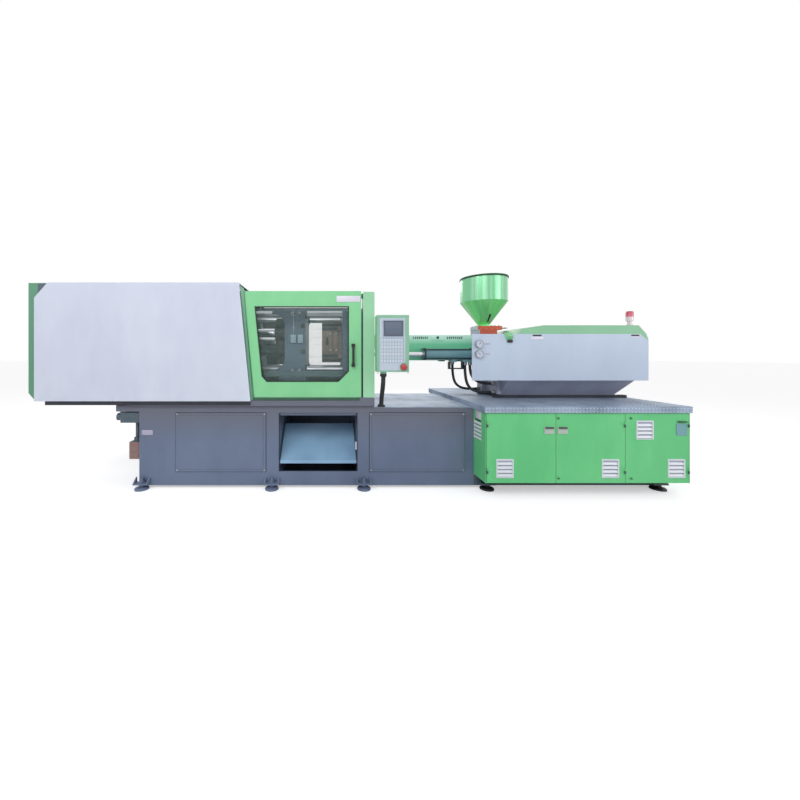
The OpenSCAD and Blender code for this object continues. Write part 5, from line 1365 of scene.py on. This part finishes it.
# %% Lubricator and control box fittings
pump_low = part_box("lubricator")[0]
line_end = [(0, 0), (0, 0.012), (0.012, 0.012), (0.012, 0.007), (0.055, 0.007), (0.055, 0.011),
            (0.068, 0.011), (0.068, 0)]
line_ends = Shape()
for x_line in (-2.150, -2.112):
    line_ends.turned("z", (x_line, pump_low.y + 0.030, 0.640), line_end, 16)
line_ends.done("lubricator_fittings", "root", "machine_steel")

jar_x = pump_low.x + 0.146
jar_foot = pump_low.z + 0.020
jar_ribs = Shape()
for lift in (0.0, 0.052, 0.104):
    jar_ribs.block((jar_x, pump_low.y - 0.003, jar_foot + lift),
                   (jar_x + 0.080, pump_low.y + 0.001, jar_foot + lift + 0.034), 0.002)
jar_ribs.done("reservoir_ribs", "root", "frame_paint", reservoir_brown)

face_low, face_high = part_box("control_box")
screws = Shape()
for x_screw in (face_low.x + 0.010, face_high.x - 0.010):
    for z_screw in (face_low.z + 0.012, face_high.z - 0.012):
        screws.turned("y", (x_screw, face_low.y, z_screw), screw_head(0.005, 0.003), 12)
screws.done("control_screws", "root", "machine_steel")


def screen_outline(grow, corner):
    return rounded(screen_low.x - grow, screen_high.x + grow,
                   screen_low.z - grow, screen_high.z + grow, corner)


bezel = Shape().band("y", screen_outline(0.007, 0.008), screen_outline(-0.001, 0.004),
                     screen_low.y - 0.0015, face_low.y)
bezel.done("screen_bezel", "root", "black_plastic", bezel_grey)
print("fittings done, reservoir at", round(pump_low.x, 3))

# %% [markdown]
# The machine stands in the plainest studio: a pale floor, a white room, one large soft lamp over the
# camera's left shoulder and a weak one from the right. A white world seen by the camera gives the white
# background, but the same strength on the object would wash it out, so the light path decides: rays from
# the camera, from glossy surfaces and through glass see white, and everything else sees a dimmer grey.
# %% Floor, room and lamps
backdrop_glow = 0.45


def stage_floor():
    data = bpy.data.meshes.new("floor")
    half = 70.0
    corners = [(-half, -half, 0), (half, -half, 0), (half, half, 0), (-half, half, 0)]
    data.from_pydata(corners, [], [(0, 1, 2, 3)])
    made = bpy.data.objects.new("floor", data)
    scene.collection.objects.link(made)
    finish = Finish("pale_floor")
    speck = finish.noise(finish.place(), 40.0, 2.0)
    seen = finish.node("LightPath", output="Is Camera Ray")
    glow = finish.mix(seen, (0, 0, 0, 1), (backdrop_glow, backdrop_glow, backdrop_glow, 1))
    finish.wear(Base_Color=finish.mix(speck, tone(246, 246, 248), tone(240, 240, 243)), Roughness=0.9,
                Emission_Color=glow, Emission_Strength=1.0)
    data.materials.append(finish.material)
    return made


floor = stage_floor()

world = bpy.data.worlds.new("room")
scene.world = world
world.use_nodes = True
tree = world.node_tree
path = tree.nodes.new("ShaderNodeLightPath")
seen = tree.nodes.new("ShaderNodeMath")
seen.operation = "MAXIMUM"
tree.links.new(path.outputs["Is Camera Ray"], seen.inputs[0])
tree.links.new(path.outputs["Is Glossy Ray"], seen.inputs[1])
through = tree.nodes.new("ShaderNodeMath")
through.operation = "MAXIMUM"
tree.links.new(seen.outputs[0], through.inputs[0])
tree.links.new(path.outputs["Is Transmission Ray"], through.inputs[1])
strength = tree.nodes.new("ShaderNodeMapRange")
strength.inputs["To Min"].default_value = 0.50
strength.inputs["To Max"].default_value = 1.0
tree.links.new(through.outputs[0], strength.inputs["Value"])
background = tree.nodes["Background"]
background.inputs["Color"].default_value = (1.0, 1.0, 1.0, 1.0)
tree.links.new(strength.outputs[0], background.inputs["Strength"])


def soft_lamp(name, place, target, size, power):
    data = bpy.data.lights.new(name, "AREA")
    data.shape = "RECTANGLE"
    data.size = size[0]
    data.size_y = size[1]
    data.energy = power
    lamp = bpy.data.objects.new(name, data)
    lamp.location = place
    lamp.rotation_euler = (Vector(target) - Vector(place)).to_track_quat("-Z", "Y").to_euler()
    scene.collection.objects.link(lamp)
    return lamp


soft_lamp("key_lamp", (-2.5, -5.5, 5.0), (0, 0, 0.9), (6.0, 3.0), 210)
soft_lamp("fill_lamp", (5.5, -4.0, 3.0), (0.5, 0, 0.9), (3.0, 3.0), 60)
soft_lamp("back_lamp", (0.5, 6.0, 4.5), (0, 0, 1.0), (6.0, 3.0), 130)
scene.view_settings.view_transform = "Standard"
